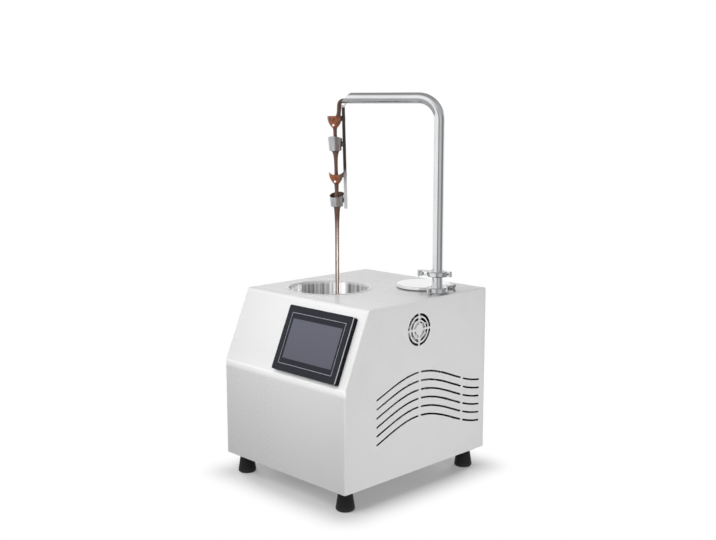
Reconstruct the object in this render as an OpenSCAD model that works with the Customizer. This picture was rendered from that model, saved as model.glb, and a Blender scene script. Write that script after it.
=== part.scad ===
// Chocolate melting tank with a pumped spout. A bent sheet cabinet on four rubber feet holds a heated
// steel bowl. A gear pump lifts the chocolate through a clamped riser, and it runs from the spout
// down a hanging cascade of scoops and back into the bowl.
// The origin is on the floor under the middle of the cabinet: +X right, +Y to the back, +Z up.

/* [Cabinet] */
// Width of the cabinet
cab_w = 400; // [390:1:440]
// Depth of the cabinet
cab_d = 460; // [450:1:500]
// Height of the cabinet above its feet
cab_h = 386; // [380:1:420]
// Height of the sloped face
slope_rise = 162; // [158:1:171]
// How far the sloped face leans back
slope_run = 70; // [60:1:80]
// Thickness of the panel sheet
sheet_t = 1.5; // [1:0.1:2]
// Outer radius of the two bends in the wrap
bend_r = 14; // [8:0.5:18]
// Outer radius of the rolled side edges
edge_r = 4; // [3:0.5:5]
// Hairline gap where two panels meet
seam = 0.15; // [0.1:0.05:0.3]
// Width of the folded inner flanges
flange_w = 16; // [14:1:22]

/* [Feet] */
// Height of a rubber foot
foot_h = 48; // [40:1:60]
// Radius of a foot on the floor
foot_r = 21; // [18:0.5:24]
// Radius of a foot under the cabinet
foot_top_r = 14.3; // [13:0.1:17]
// Rounding of a foot's lower edge
foot_round = 5; // [3:0.5:7]
// Distance of a foot's axis from each side
foot_inset = 33; // [28:1:45]
// Shank radius of a foot bolt
foot_bolt_r = 4; // [3:0.5:5]

/* [Vents] */
// Rows of wave slots
vent_rows = 6; // [3:1:7]
// Drop from one row to the next
vent_pitch = 19.9; // [16:0.1:22]
// Width of a wave slot
vent_w = 4.2; // [2:0.1:4.6]
// Drop from the fan's axis to the first crest
vent_drop = 96.5; // [85:0.5:110]
// Rise of the wave from its middle line
vent_rise = 28.1; // [20:0.1:34]
// Length of one whole wave
vent_wave = 448; // [420:1:500]
// Distance of a row's front end from the cabinet's front
vent_front = 96; // [80:1:110]
// Distance of a row's rear end from the cabinet's back
vent_rear = 21; // [18:1:40]
// Solid bridge between two slots
vent_bridge = 11.5; // [8:0.5:14]

/* [Fan] */
// Side of the square fan frame
fan_size = 80; // [76:1:84]
// Depth of the fan frame
fan_depth = 25; // [20:1:30]
// Drop from the cabinet's top to the fan's axis
fan_drop = 65; // [62:1:74]
// Distance of the fan's axis from the cabinet's back
fan_rear = 232; // [226:1:240]
// Distance of the fan's corner holes from its sides
fan_hole_in = 4.25; // [4:0.05:6]
// Outer radius of the grille slots in the panel
grille_r = 36.5; // [33:0.5:37]
// Width of a ring slot
grille_slot = 5.6; // [3:0.1:6]
// Solid ring between two slots
grille_web = 3.6; // [3:0.1:5]
// Width of the four bridges across the slots
grille_bridge = 4.6; // [4:0.1:8]
// Ring slots in the grille
grille_rings = 3; // [2:1:3]

/* [Touch screen] */
// Width of the screen's frame
screen_w = 200; // [190:0.5:206]
// Height of the screen's frame, up the slope
screen_h = 146.5; // [140:0.5:150]
// How far the frame stands out of the slope
screen_proud = 14; // [8:0.5:16]
// Corner radius of the frame
screen_corner_r = 4; // [2:0.5:6]
// Gap between the frame and the cabinet's right side
screen_side = 22.5; // [20:0.5:30]
// Gap between the lower bend and the frame, up the slope
screen_low = 8.25; // [7:0.25:12]
// Width of the lit window
window_w = 157; // [140:0.5:160]
// Height of the lit window
window_h = 89.5; // [80:0.5:96]
// Thickness of the front overlay
overlay_t = 1; // [0.8:0.1:1.5]
// Depth of the rear case behind the sheet
screen_case_d = 32; // [28:1:38]

/* [Tank] */
// Inner radius of the bowl
tank_r = 95; // [90:0.5:97]
// Depth of the bowl below the top panel
tank_depth = 175; // [165:1:182]
// Wall of the bowl and of the pump well
vessel_wall = 1.2; // [1:0.1:1.6]
// Width of the bowl's flat rim
tank_rim = 6; // [4:0.5:8]
// Radius between the bowl's wall and its floor
tank_corner_r = 16; // [10:1:18]
// Gap between the bowl and the cabinet's left side
tank_side = 45; // [41:1:49]
// Gap between the bowl and the upper bend
tank_front = 36; // [33:1:39]
// Thickness of the insulation round the bowl
insulation_t = 10; // [8:1:12]

/* [Pump] */
// Inner radius of the pump well
well_r = 52; // [48:0.5:53]
// Gap between the lid and the cabinet's right side
lid_side = 45; // [43:0.5:47]
// Gap between the lid and the cabinet's back
lid_rear = 35; // [33:0.5:37]
// Radius of the lid over the well
cover_r = 63; // [61:0.5:64]
// Thickness of the lid
cover_t = 9; // [7:0.5:11]
// Teeth on each pump gear
gear_teeth = 14; // [12:2:16]
// Pitch radius of each pump gear
gear_pitch_r = 17.5; // [16:0.5:18]
// Face width of the gears
gear_w = 22; // [18:1:26]
// Wall of the pump housing round the gears
pump_wall = 8; // [7:0.5:9]
// Radius of the pump's drive shaft
drive_r = 6; // [5:0.5:7]

/* [Riser and spout] */
// Outer radius of the tube
tube_r = 12; // [10.5:0.1:12.4]
// Wall of the tube
tube_wall = 1.5; // [1:0.1:2]
// Distance of the riser's axis from the cabinet's right side
riser_side = 26; // [25:0.5:28]
// Distance of the riser's axis in front of the well's
riser_front = 45; // [44:0.5:48]
// Height of the arm's axis above the cabinet's top
arm_up = 438; // [420:1:450]
// Reach of the arm from the riser to the spout's lip
arm_reach = 230; // [225:1:240]
// Radius of the bend at the tube's axis
arm_bend_r = 48; // [40:1:55]
// Heading of the arm, from +X towards +Y
arm_heading = 206.4; // [200:0.1:212]
// Gap between a turning lower wing nut and the cabinet's top
wing_gap = 1; // [0.8:0.1:3]
// Distance between the two clamps' middles
joint_gap = 36.3; // [34:0.1:42]

/* [Clamps] */
// Radius of a ferrule
ferrule_r = 17; // [16.6:0.1:17.5]
// Thickness of a ferrule at its rim
ferrule_rim = 1.6; // [1.2:0.1:2]
// Thickness of a joint gasket
gasket_t = 2; // [1.5:0.1:2.4]
// Outer radius of a clamp ring
clamp_r = 24; // [23:0.5:25]
// Height of a clamp
clamp_h = 12; // [11:0.5:13]
// Distance of the swing bolt from the riser's axis
bolt_out = 39; // [37:0.5:41]
// Shank radius of a swing bolt
bolt_r = 2.5; // [2:0.1:2.6]
// Reach of a wing from the nut's axis
wing_reach = 9.2; // [8:0.1:9.4]

/* [Cascade] */
// Length of the hanging strip below its ring
strip_len = 234; // [230:1:245]
// Width of the strip
strip_w = 7; // [4:0.5:7.5]
// Thickness of the strip
strip_t = 2; // [1.5:0.1:2.5]
// Lean of the hanging strip
hang_tilt = 1.5; // [0:0.1:4]
// Wall of a scoop
scoop_wall = 1; // [0.8:0.1:1.4]
// Gap between the strip's edge and a cup
scoop_gap = 0.5; // [0.4:0.1:3]
// Top of the upper leaf, below the ring
leaf_drop = 28; // [26:0.5:34]
// Largest radius of a leaf
leaf_r = 17; // [15:0.5:17.5]
// Radius of a leaf's tip
leaf_tip_r = 4.5; // [3.5:0.5:6]
// Height of a leaf
leaf_h = 28; // [24:0.5:30]
// Top of the upper cup, below the ring
cup_drop = 74; // [72:0.5:80]
// Top radius of a cup
cup_r = 17.5; // [16:0.5:18]
// Bottom radius of a cup
cup_low_r = 14.5; // [12:0.5:16]
// Height of a cup's high side
cup_h = 33; // [28:0.5:36]
// Drop of a cup's mouth from its high side to its low side
cup_rake = 12; // [6:0.5:14]
// Length of strip left below the lowest scoop's tab
strip_tail = 14; // [8:0.5:20]

/* [Rear] */
// Height of the inlet and the switch above the cabinet's underside
rear_up = 60; // [50:1:90]
// Distance of the power inlet's middle from the cabinet's left side
inlet_side = 90; // [70:1:100]
// Distance from the inlet to the rocker switch
switch_gap = 60; // [50:1:70]
// Travel of the rocker to either side of level
rocker_tilt = 7; // [5:0.5:9]

/* [Hidden] */
$fn = 64;
overrun = 2;
play = 0.25;
run_fit = 0.05;
weld_gap = 0.1;
loose = 1;

hw = cab_w / 2;
hd = cab_d / 2;
z0 = foot_h;
z1 = z0 + cab_h;
knee_z = z1 - slope_rise;
slope_ang = atan2(slope_rise, slope_run);
rear_in = hd - sheet_t - seam;
pan_lip = 2 * flange_w;
side_in = hw - sheet_t - seam;

outline = [[-hd, z0], [-hd, knee_z], [slope_run - hd, z1], [hd, z1]];
function inward(a, b) = let (d = (b - a) / norm(b - a)) [d[1], -d[0]];
function step_in(i, d) =
    let (m = inward(outline[i - 1], outline[i]), n = inward(outline[i], outline[i + 1]))
    outline[i] + (m + n) * d / (1 + m * n);

foot_bore_r = foot_bolt_r + play;
foot_head_r = 7.4;
foot_head_h = 5.2;
foot_well_r = foot_head_r + loose;
foot_well_h = 21.6;
foot_nut_h = 6.4;
foot_bolt_len = foot_h - foot_well_h + foot_head_h + sheet_t + foot_nut_h + overrun;

vent_start = vent_front - hd;
vent_run = cab_d - vent_front - vent_rear - 2 * vent_bridge;
vent_shares = [0.40625, 0.41875, 0.175];
vent_lengths = vent_run * vent_shares;
vent_starts = [vent_start, vent_start + vent_lengths[0] + vent_bridge,
               vent_start + vent_lengths[0] + vent_lengths[1] + 2 * vent_bridge];
vent_steps = 12;
crest_back = 4;
vent_crest_y = hd - fan_rear + crest_back;

fan_y = hd - fan_rear;
fan_z = z1 - fan_drop;
fan_hole_pitch = fan_size - 2 * fan_hole_in;
fan_bore_share = 0.475;
fan_hub_share = 0.2;
fan_bore_r = fan_size * fan_bore_share;
fan_hub_r = fan_size * fan_hub_share;
fan_tip_gap = 1.5;
fan_blades = 7;
fan_wall = 4;
fan_strut = 5;
fan_pin_r = 3;
fan_stud_r = 2;
fan_nut_r = 4;
fan_nut_h = 3.2;
fan_sweep_r = fan_bore_r - fan_tip_gap;
fan_blade_t = 1.6;
fan_blade_pitch = 38;

screen_x = hw - screen_side - screen_w / 2;
screen_s = screen_low + screen_h / 2;
bezel_wall = 8;
display_t = 4;
display_rim = 4;
case_w = screen_w - 2 * bezel_wall;
case_h = screen_h - 2 * bezel_wall;
clip_size = [16, 8, 9];
clip_spread_share = 0.3;
clip_screw_r = 2;

tank_x = tank_side + tank_r - hw;
tank_y = slope_run - hd + tank_front + tank_r;
tank_floor = z1 - tank_depth;
tank_out = tank_r + vessel_wall;
heater_t = 2.5;
heater_up = 70;
heater_low = tank_floor + heater_up;
heater_h = 60;
heater_r = tank_out + play;
heater_cover = 8;
insulation_drop = 14;
insulation_low = heater_low - heater_cover;
insulation_h = z1 - insulation_drop - insulation_low;
insulation_r = heater_r + heater_t + play;
probe_r = 3;
probe_up = 16;
probe_nut_r = 8;
probe_nut_h = 14;
probe_out = tank_r / 2;

well_x = hw - lid_side - cover_r;
well_y = hd - lid_rear - cover_r;
well_out = well_r + vessel_wall;
well_rim = 5;
well_gasket_t = 1;
well_bottom = tank_floor - vessel_wall;
spigot_h = 12;
cover_low = z1 + play;
cover_seat = z1 + vessel_wall + well_gasket_t;
cover_round = 1.5;

feed_r = 14;
feed_bore_r = feed_r - tube_wall;
feed_up = 34;
feed_z = tank_floor + feed_up;
feed_run = [well_x - tank_x, well_y - tank_y];
feed_ang = atan2(feed_run[1], feed_run[0]);

gear_module = 2 * gear_pitch_r / gear_teeth;
tip_share = 0.8;
root_share = 1.05;
pressure_ang = 20;
gear_tip_r = gear_pitch_r + tip_share * gear_module;
gear_root_r = gear_pitch_r - root_share * gear_module;
gear_base_r = gear_pitch_r * cos(pressure_ang);
gear_backlash = 0.6;
flank_shares = [0, 0.35, 0.7, 1];
chamber_r = gear_tip_r + 2 * run_fit;
pump_r = chamber_r + pump_wall;
pump_plate_t = 10;
chamber_h = gear_w + 2 * play;
pump_h = chamber_h + pump_plate_t;
socket_h = chamber_h + pump_plate_t / 2;
pump_top = well_bottom - weld_gap;
pump_low = pump_top - pump_h;
gear_low = pump_low + play;
gear_mid = gear_low + gear_w / 2;
port_r = 8;
riser_x = hw - riser_side;
riser_y = well_y - riser_front;
flow_run = [riser_x - well_x, riser_y - well_y];
flow_ang = atan2(flow_run[1], flow_run[0]);
flow_len = norm(flow_run);
idler_r = drive_r - loose;
plate_low = pump_low - pump_plate_t;
coupling_r = 13;
coupling_h = 30;
coupling_gap = 4;
coupling_slot = 2;
coupling_top = plate_low - coupling_gap;
shaft_grip = coupling_h / 2 - run_fit;
motor_top = coupling_top - coupling_h - coupling_gap;
gearbox_w = 60;
gearbox_h = 52;
motor_r = 24;
motor_h = 78;
standoff_r = 4;
standoff_off = (pump_r - standoff_r - play) / sqrt(2);
standoff_h = plate_low - motor_top;

low_joint_up = wing_reach + wing_gap;
bore_r = tube_r - tube_wall;
joint_z = [z1 + low_joint_up, z1 + low_joint_up + joint_gap];
clamp_heading = [88, 205];
clamp_roll = [0, 180];
ferrule_ang = 20;
neck_r = tube_r + tube_wall;
neck_h = 5.4;
arm_z = z1 + arm_up;
lower_bend_r = 40;
pump_face = 46;

lip_hold = 2.4;
clamp_lip_r = ferrule_r - lip_hold;
groove_r = ferrule_r + play;
groove_play = 2 * run_fit;
clamp_gap = 1.2;
clamp_bevel = 2;
hinge_r = 4.2;
hinge_x = clamp_r + hinge_r + loose;
pin_r = 2;
eye_r = 5.5;
eye_t = 2 * bolt_r + 2 * play;
lug_in = eye_t / 2 + play;
ear_x = clamp_r - clamp_bevel;
ear_len = 7;
pivot_y = 6;
lug_r = 4;
ear_back = pivot_y + lug_r;
lug_h = clamp_h / 2 - lug_in;
ear_face = 8;
seat_r = pivot_y + ear_face;
nut_gap = 2 * play;
nut_r = 5.6;
nut_top_r = 4.6;
nut_h = 6;
wing_h = 9;
wing_t = 2.4;
wing_tip_r = 3;
bolt_show = 3;
bolt_end = seat_r + nut_gap + nut_h + bolt_show;

hook_ring_r = 6;
hook_wire_r = 1;
hook_play = 0.3;
hook_lap = hook_ring_r - hook_wire_r - hook_play;
hook_hole_r = 1.8;
hook_x = arm_reach - hook_lap;
hook_z = arm_z - (tube_r + bore_r) / 2;
tab_w = 10;
tab_h = 12;
tab_t = 1;
pair_pitch = strip_len + hook_ring_r - strip_tail - tab_h - cup_rake - cup_drop;
rivet_r = 1.3;
rivet_head_r = 2.2;
rivet_head_h = 0.9;
scoop_out = strip_w / 2 + scoop_gap + cup_r;
leaf_turn = 20;
leaf_belly = 1;
leaf_taper = leaf_r - leaf_tip_r;
leaf_arc = (leaf_taper ^ 2 + (leaf_h - leaf_belly) ^ 2) / (2 * leaf_taper);
arc_fn = 180;
leaf_hole_r = 2.5;
leaf_hole_x = 3.6;
leaf_hole_share = 0.75;
horn_r = 24;
horn_dip = 6;

supply_size = [110, 78, 36];
supply_in = [80, 110];
supply_at = [supply_in[0] - hw, hd - supply_in[1]];
board_size = [130, 90, 1.6];
board_in = [140, 160];
board_at = [board_in[0] - hw, board_in[1] - hd];
board_up = 12;
relay_size = [26, 18, 16];
relay_pitch = 34;
post_r = 3.5;
inlet_left = hw - inlet_side;
switch_left = inlet_left - switch_gap;
inlet_size = [48, 24];
inlet_body = [27, 20];
inlet_depth = 26;
flange_t = 2.5;
inlet_cup = [22, 15];
inlet_pin = [1.6, 4];
inlet_pin_pitch = 7;
switch_size = [26, 32];
switch_body = [22, 28];
switch_depth = 18;
rocker_r = 15;
rocker_wall = 2;
rear_screw_r = 2;
rear_screw_h = 8;
cross_slot = [3.2, 0.7];
rear_z = z0 + rear_up;

steel = "#c9ccd0";
white = "#eceef0";
black = "#1b1c1f";

// Places and small shared shapes

module on_slope() {
    translate([0, -hd, knee_z]) rotate([slope_ang, 0, 0]) children();
}

module along_x(length) {
    rotate([90, 0, 90]) linear_extrude(length, center = true) children();
}

module at_tank(z) {
    translate([tank_x, tank_y, z]) children();
}

module at_well(z) {
    translate([well_x, well_y, z]) children();
}

// The pump's own frame: +X points along the flow to the riser, the gears stand along Y
module at_pump(z) {
    at_well(z) rotate([0, 0, flow_ang]) children();
}

module at_clamp(i) {
    translate([riser_x, riser_y, joint_z[i]])
        rotate([0, 0, clamp_heading[i]]) rotate([clamp_roll[i], 0, 0]) children();
}

// The spout's own frame: the riser's axis is Z and the arm points along +X
module at_spout() {
    translate([riser_x, riser_y, 0]) rotate([0, 0, arm_heading]) children();
}

// The cascade hangs from its ring: its own Z runs up the strip
module at_cascade() {
    at_spout() translate([hook_x, 0, hook_z]) rotate([0, hang_tilt, 0]) children();
}

module rounded_rect(w, h, r) {
    square([w - 2 * r, h], center = true);
    square([w, h - 2 * r], center = true);
    for (x = [-1, 1], y = [-1, 1])
        translate([x * (w / 2 - r), y * (h / 2 - r)]) circle(r);
}

// A rectangle hung from its edge at Y zero, with that edge's two corners rounded
module capped_rect(w, d, r) {
    translate([-w / 2, r]) square([w, d - r]);
    translate([r - w / 2, 0]) square([w - 2 * r, d]);
    for (x = [-1, 1]) translate([x * (w / 2 - r), r]) circle(r);
}

module tube(r, bore, h) {
    difference() {
        cylinder(r = r, h = h);
        translate([0, 0, -overrun]) cylinder(r = bore, h = h + 2 * overrun);
    }
}

// Cabinet

// What the bend at a corner of the side view takes off
module bend_waste(i, inset) {
    r = bend_r - inset;
    c = step_in(i, bend_r);
    m = inward(outline[i - 1], outline[i]);
    n = inward(outline[i], outline[i + 1]);
    difference() {
        polygon([c - r * m, c - (r + overrun) * m, step_in(i, inset - overrun),
                 c - (r + overrun) * n, c - r * n]);
        translate(c) circle(r);
    }
}

// Side view of the cabinet, drawn with depth across and height up
module case_profile(inset, rear, low) {
    difference() {
        polygon([[inset - hd, low], step_in(1, inset), step_in(2, inset),
                 [rear, z1 - inset], [rear, low]]);
        bend_waste(1, inset);
        bend_waste(2, inset);
    }
}

// The cabinet as a solid, with its front, sloped and top side edges rolled over
module case_form(inset, rear, low) {
    w = cab_w - 2 * inset;
    r = edge_r - inset;
    reach = cab_d + cab_h;
    intersection() {
        along_x(cab_w + overrun) case_profile(inset, rear, low);
        translate([0, inset - hd, low]) linear_extrude(z1 - low) capped_rect(w, rear + hd, r);
        translate([0, -hd, z1 - inset])
            rotate([-90, 0, 0]) linear_extrude(rear + hd) capped_rect(w, z1 - low, r);
        on_slope() translate([0, -cab_d, -inset])
            rotate([-90, 0, 0]) linear_extrude(2 * reach) capped_rect(w, reach, r);
    }
}

module front_wrap() {
    color(white) difference() {
        case_form(0, rear_in, z0);
        case_form(sheet_t, hd + overrun, z0 - overrun);
        along_x(cab_w + 2 * overrun) case_profile(edge_r, hd + overrun, z0 - overrun);
        at_tank(z1 - edge_r) cylinder(r = tank_out + play, h = edge_r + overrun);
        at_well(z1 - edge_r) cylinder(r = well_out + play, h = edge_r + overrun);
        translate([riser_x, riser_y, z1 - edge_r]) cylinder(r = tube_r + play, h = edge_r + overrun);
        on_slope() translate([screen_x, screen_s, -edge_r])
            linear_extrude(edge_r + overrun) square([case_w + 2 * play, case_h + 2 * play], center = true);
    }
}

function wave_z(y, row) =
    fan_z - vent_drop - row * vent_pitch - vent_rise * (1 - cos(360 * (y - vent_crest_y) / vent_wave));
function wave_lean(y) = -vent_rise * sin(360 * (y - vent_crest_y) / vent_wave) * 2 * PI / vent_wave;
function wave_edge(y, row, side) =
    let (n = [-wave_lean(y), 1]) [y, wave_z(y, row)] + side * n / norm(n) * vent_w / 2;

// One slot that follows the wave, with round ends
module wave_slot(row, start, length) {
    along = [for (i = [0:vent_steps]) start + length * i / vent_steps];
    back = [for (i = [vent_steps:-1:0]) along[i]];
    polygon(concat([for (y = along) wave_edge(y, row, 1)], [for (y = back) wave_edge(y, row, -1)]));
    for (y = [start, start + length]) translate([y, wave_z(y, row)]) circle(vent_w / 2);
}

module wave_vents() {
    for (row = [0:vent_rows - 1], i = [0:2]) wave_slot(row, vent_starts[i], vent_lengths[i]);
}

// Broken ring slots in front of the fan
module grille_slots() {
    difference() {
        for (i = [0:grille_rings - 1]) {
            r = grille_r - i * (grille_slot + grille_web);
            difference() {
                circle(r);
                circle(r - grille_slot);
            }
        }
        square([grille_bridge, 2 * grille_r + overrun], center = true);
        square([2 * grille_r + overrun, grille_bridge], center = true);
    }
}

module fan_corners() {
    for (y = [-1, 1], z = [-1, 1])
        translate([y * fan_hole_pitch / 2, z * fan_hole_pitch / 2]) children();
}

// A flat side panel with a flange folded in along its rear edge
module side_panel(side) {
    inset = edge_r + seam;
    translate([side * (hw - sheet_t / 2), 0, 0]) along_x(sheet_t) difference() {
        case_profile(inset, rear_in, z0);
        wave_vents();
        if (side > 0) translate([fan_y, fan_z]) grille_slots();
    }
    flange_x = side > 0 ? hw - sheet_t - flange_w : sheet_t - hw;
    difference() {
        translate([flange_x, rear_in - sheet_t, z0 + pan_lip])
            cube([flange_w, sheet_t, cab_h - 2 * pan_lip]);
        rear_screw_places(side) cylinder(r = rear_screw_r + run_fit, h = rear_screw_h);
    }
}

module right_side_panel() {
    color(white) side_panel(1);
}

module left_side_panel() {
    color(white) side_panel(-1);
}

// Places of the rear screws on one side; their own Z points into the cabinet
module rear_screw_places(side) {
    for (z = [z0 + pan_lip + flange_w, z1 - pan_lip - flange_w])
        translate([side * (hw - sheet_t - flange_w / 2), hd, z]) rotate([90, 0, 0]) children();
}

module at_rear(left) {
    translate([-left, hd, rear_z]) rotate([90, 0, 180]) children();
}

module rear_cutout(left, size) {
    at_rear(left) translate([0, 0, -sheet_t - overrun]) linear_extrude(sheet_t + 2 * overrun)
        square([size[0] + play, size[1] + play], center = true);
}

module rear_panel() {
    color(white) difference() {
        translate([0, hd - sheet_t, z1])
            rotate([-90, 0, 0]) linear_extrude(sheet_t) capped_rect(cab_w, cab_h, edge_r);
        for (side = [-1, 1]) rear_screw_places(side) translate([0, 0, -overrun])
            cylinder(r = rear_screw_r + play, h = rear_screw_h + overrun);
        rear_cutout(inlet_left, inlet_body);
        rear_cutout(switch_left, switch_body);
    }
}

module rear_screws() {
    color(steel) for (side = [-1, 1]) rear_screw_places(side) {
        cylinder(r = rear_screw_r, h = rear_screw_h);
        difference() {
            translate([0, 0, -rear_screw_r])
                cylinder(r1 = rear_screw_r, r2 = 2 * rear_screw_r, h = rear_screw_r);
            translate([0, 0, -rear_screw_r]) for (a = [0, 90]) rotate([0, 0, a])
                cube([cross_slot[0], cross_slot[1], rear_screw_r], center = true);
        }
    }
}

module foot_places() {
    for (x = [-1, 1], y = [-1, 1])
        translate([x * (hw - foot_inset), y * (hd - foot_inset), 0]) children();
}

// Bottom tray with its four edges folded up
module base_pan() {
    w = 2 * (side_in - seam);
    d = 2 * (rear_in - sheet_t - seam);
    color("#b9bcc0") difference() {
        translate([-w / 2, -d / 2, z0]) cube([w, d, pan_lip]);
        translate([sheet_t - w / 2, sheet_t - d / 2, z0 + sheet_t])
            cube([w - 2 * sheet_t, d - 2 * sheet_t, pan_lip]);
        foot_places() translate([0, 0, z0 - overrun])
            cylinder(r = foot_bolt_r + play, h = sheet_t + 2 * overrun);
    }
}

// A tapered foot with a rounded lower edge and a well for its bolt's head
module rubber_feet() {
    color(black) foot_places() difference() {
        rotate_extrude() {
            polygon([[0, 0], [foot_r - foot_round, 0], [foot_r, foot_round],
                     [foot_top_r, foot_h], [0, foot_h]]);
            translate([foot_r - foot_round, foot_round]) circle(foot_round);
        }
        translate([0, 0, -overrun]) {
            cylinder(r = foot_bore_r, h = foot_h + 2 * overrun);
            cylinder(r = foot_well_r, h = foot_well_h + overrun);
        }
    }
}

module foot_bolts() {
    color(steel) foot_places() translate([0, 0, foot_well_h - foot_head_h]) {
        cylinder(r = foot_head_r, h = foot_head_h, $fn = 6);
        cylinder(r = foot_bolt_r, h = foot_bolt_len);
    }
}

module foot_nuts() {
    color(steel) foot_places() translate([0, 0, z0 + sheet_t]) difference() {
        cylinder(r = foot_head_r, h = foot_nut_h, $fn = 6);
        translate([0, 0, -overrun]) cylinder(r = foot_bolt_r + run_fit, h = foot_nut_h + 2 * overrun);
    }
}

// Touch screen

module on_screen(n) {
    on_slope() translate([screen_x, screen_s, n]) children();
}

// Moulded frame: open behind for the case, stepped in front for the overlay and the display
module screen_bezel() {
    color(black) on_screen(0) difference() {
        linear_extrude(screen_proud) rounded_rect(screen_w, screen_h, screen_corner_r);
        translate([0, 0, -overrun]) linear_extrude(screen_proud - overlay_t - display_t + overrun)
            square([case_w + 2 * play, case_h + 2 * play], center = true);
        translate([0, 0, screen_proud - overlay_t]) linear_extrude(overlay_t + overrun)
            rounded_rect(screen_w - overlay_t, screen_h - overlay_t, screen_corner_r - overlay_t / 2);
        linear_extrude(screen_proud) square([window_w + display_rim + 2 * play,
                                             window_h + display_rim + 2 * play], center = true);
    }
}

module screen_overlay() {
    color("#23252b") on_screen(screen_proud - overlay_t) linear_extrude(overlay_t) difference() {
        rounded_rect(screen_w - overlay_t - play, screen_h - overlay_t - play,
                     screen_corner_r - overlay_t / 2);
        square([window_w, window_h], center = true);
    }
}

module screen_display() {
    color("#686977") on_screen(screen_proud - overlay_t - display_t)
        linear_extrude(display_t) square([window_w + display_rim, window_h + display_rim], center = true);
}

module screen_case() {
    color(black) on_screen(-screen_case_d) difference() {
        linear_extrude(screen_case_d + screen_proud - overlay_t - display_t - play)
            square([case_w, case_h], center = true);
        for (i = [-4:4]) translate([i * clip_size[0], 0, -overrun])
            linear_extrude(bezel_wall) square([vent_w, case_h / 2], center = true);
    }
}

// Four clamping blocks that pull the frame against the sheet
module screen_clips() {
    color(steel) for (x = [-1, 1], s = [-1, 1])
        on_screen(-sheet_t - clip_size[2]) translate([x * screen_w * clip_spread_share,
                                                      s * (case_h + clip_size[1] + play) / 2, 0]) {
            linear_extrude(clip_size[2]) square([clip_size[0], clip_size[1]], center = true);
            translate([0, 0, -clip_size[2]]) cylinder(r = clip_screw_r, h = clip_size[2]);
        }
}

// Tank

// Half section of a round vessel with a rounded floor edge
module vessel_section(r, h, corner) {
    square([r - corner, h]);
    translate([0, corner]) square([r, h - corner]);
    intersection() {
        translate([r - corner, corner]) circle(corner);
        square([r, h]);
    }
}

// A flat rim turned out at a vessel's mouth, with a rolled outer edge
module rim_section(r, w) {
    translate([r, 0]) square([w - vessel_wall / 2, vessel_wall]);
    translate([r + w - vessel_wall / 2, vessel_wall / 2]) circle(vessel_wall / 2);
}

// The straight feed from the bowl to the pump well; its own X runs along it
module along_feed() {
    at_tank(feed_z) rotate([0, 0, feed_ang]) rotate([0, 90, 0]) children();
}

module tank_bowl() {
    color(steel) difference() {
        at_tank(0) {
            translate([0, 0, tank_floor - vessel_wall]) rotate_extrude() difference() {
                vessel_section(tank_out, tank_depth + vessel_wall, tank_corner_r + vessel_wall);
                translate([0, vessel_wall]) vessel_section(tank_r, tank_depth + overrun, tank_corner_r);
            }
            translate([0, 0, z1]) rotate_extrude() rim_section(tank_r, tank_rim);
        }
        along_feed() cylinder(r = feed_bore_r, h = tank_out + overrun);
        at_tank(tank_floor - vessel_wall) translate([probe_out, 0, -overrun])
            cylinder(r = probe_r + run_fit, h = vessel_wall + 2 * overrun);
    }
}

// Spring steel heating band with two clamping ears
module heater_band() {
    ear = [3 * heater_t, heater_t, heater_h / 2];
    color("#8d7f6a") at_tank(heater_low) {
        tube(heater_r + heater_t, heater_r, heater_h);
        for (side = [-1, 1])
            translate([-heater_r - heater_t / 2 - ear[0] / 2, side * ear[1], heater_h / 2])
                cube(ear, center = true);
    }
}

module tank_insulation() {
    color("#d8cfa8") at_tank(insulation_low) difference() {
        tube(insulation_r + insulation_t, insulation_r, insulation_h);
        translate([-insulation_r - insulation_t - overrun, -insulation_t, -overrun])
            cube([2 * insulation_t, 2 * insulation_t, insulation_h + 2 * overrun]);
    }
}

module temperature_probe() {
    color("#b5a642") at_tank(tank_floor - vessel_wall) translate([probe_out, 0, 0]) {
        cylinder(r = probe_r, h = vessel_wall + probe_up);
        translate([0, 0, -probe_nut_h]) cylinder(r = probe_nut_r, h = probe_nut_h, $fn = 6);
        translate([0, 0, -2 * probe_nut_h]) cylinder(r = probe_r, h = 2 * probe_nut_h);
    }
}

module transfer_pipe() {
    color(steel) difference() {
        along_feed() tube(feed_r, feed_bore_r, norm(feed_run));
        at_tank(0) cylinder(r = tank_out + weld_gap, h = z1);
        at_well(0) cylinder(r = well_out + weld_gap, h = z1);
    }
}

// Pump

module pump_well() {
    color(steel) difference() {
        at_well(0) {
            translate([0, 0, well_bottom]) rotate_extrude() difference() {
                square([well_out, tank_depth + vessel_wall]);
                translate([0, vessel_wall]) square([well_r, tank_depth + overrun]);
            }
            translate([0, 0, z1]) rotate_extrude() rim_section(well_r, well_rim);
        }
        along_feed() cylinder(r = feed_bore_r, h = norm(feed_run));
        at_pump(well_bottom - overrun) translate([-gear_pitch_r, 0, 0])
            cylinder(r = port_r, h = vessel_wall + 2 * overrun);
    }
}

module well_gasket() {
    color("#d9d9d2") at_well(z1 + vessel_wall)
        tube(well_r + well_rim - vessel_wall, well_r, well_gasket_t);
}

// Heavy turned lid with a hollow for the rim and a spigot that centres it in the well
module pump_cover() {
    rise = cover_low + cover_t - cover_seat;
    color(steel) at_well(0) rotate_extrude() {
        difference() {
            union() {
                translate([0, cover_low]) square([cover_r, cover_t - cover_round]);
                translate([0, cover_low]) square([cover_r - cover_round, cover_t]);
                translate([cover_r - cover_round, cover_low + cover_t - cover_round]) circle(cover_round);
            }
            translate([0, cover_low - overrun])
                square([well_r + well_rim + 2 * play, cover_seat + run_fit - cover_low + overrun]);
        }
        translate([well_r - 2 * play - 2 * vessel_wall, cover_seat - spigot_h])
            square([2 * vessel_wall, spigot_h + rise / 2]);
    }
}

module gear_places() {
    for (side = [-1, 1]) translate([0, side * gear_pitch_r, 0]) children();
}

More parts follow.
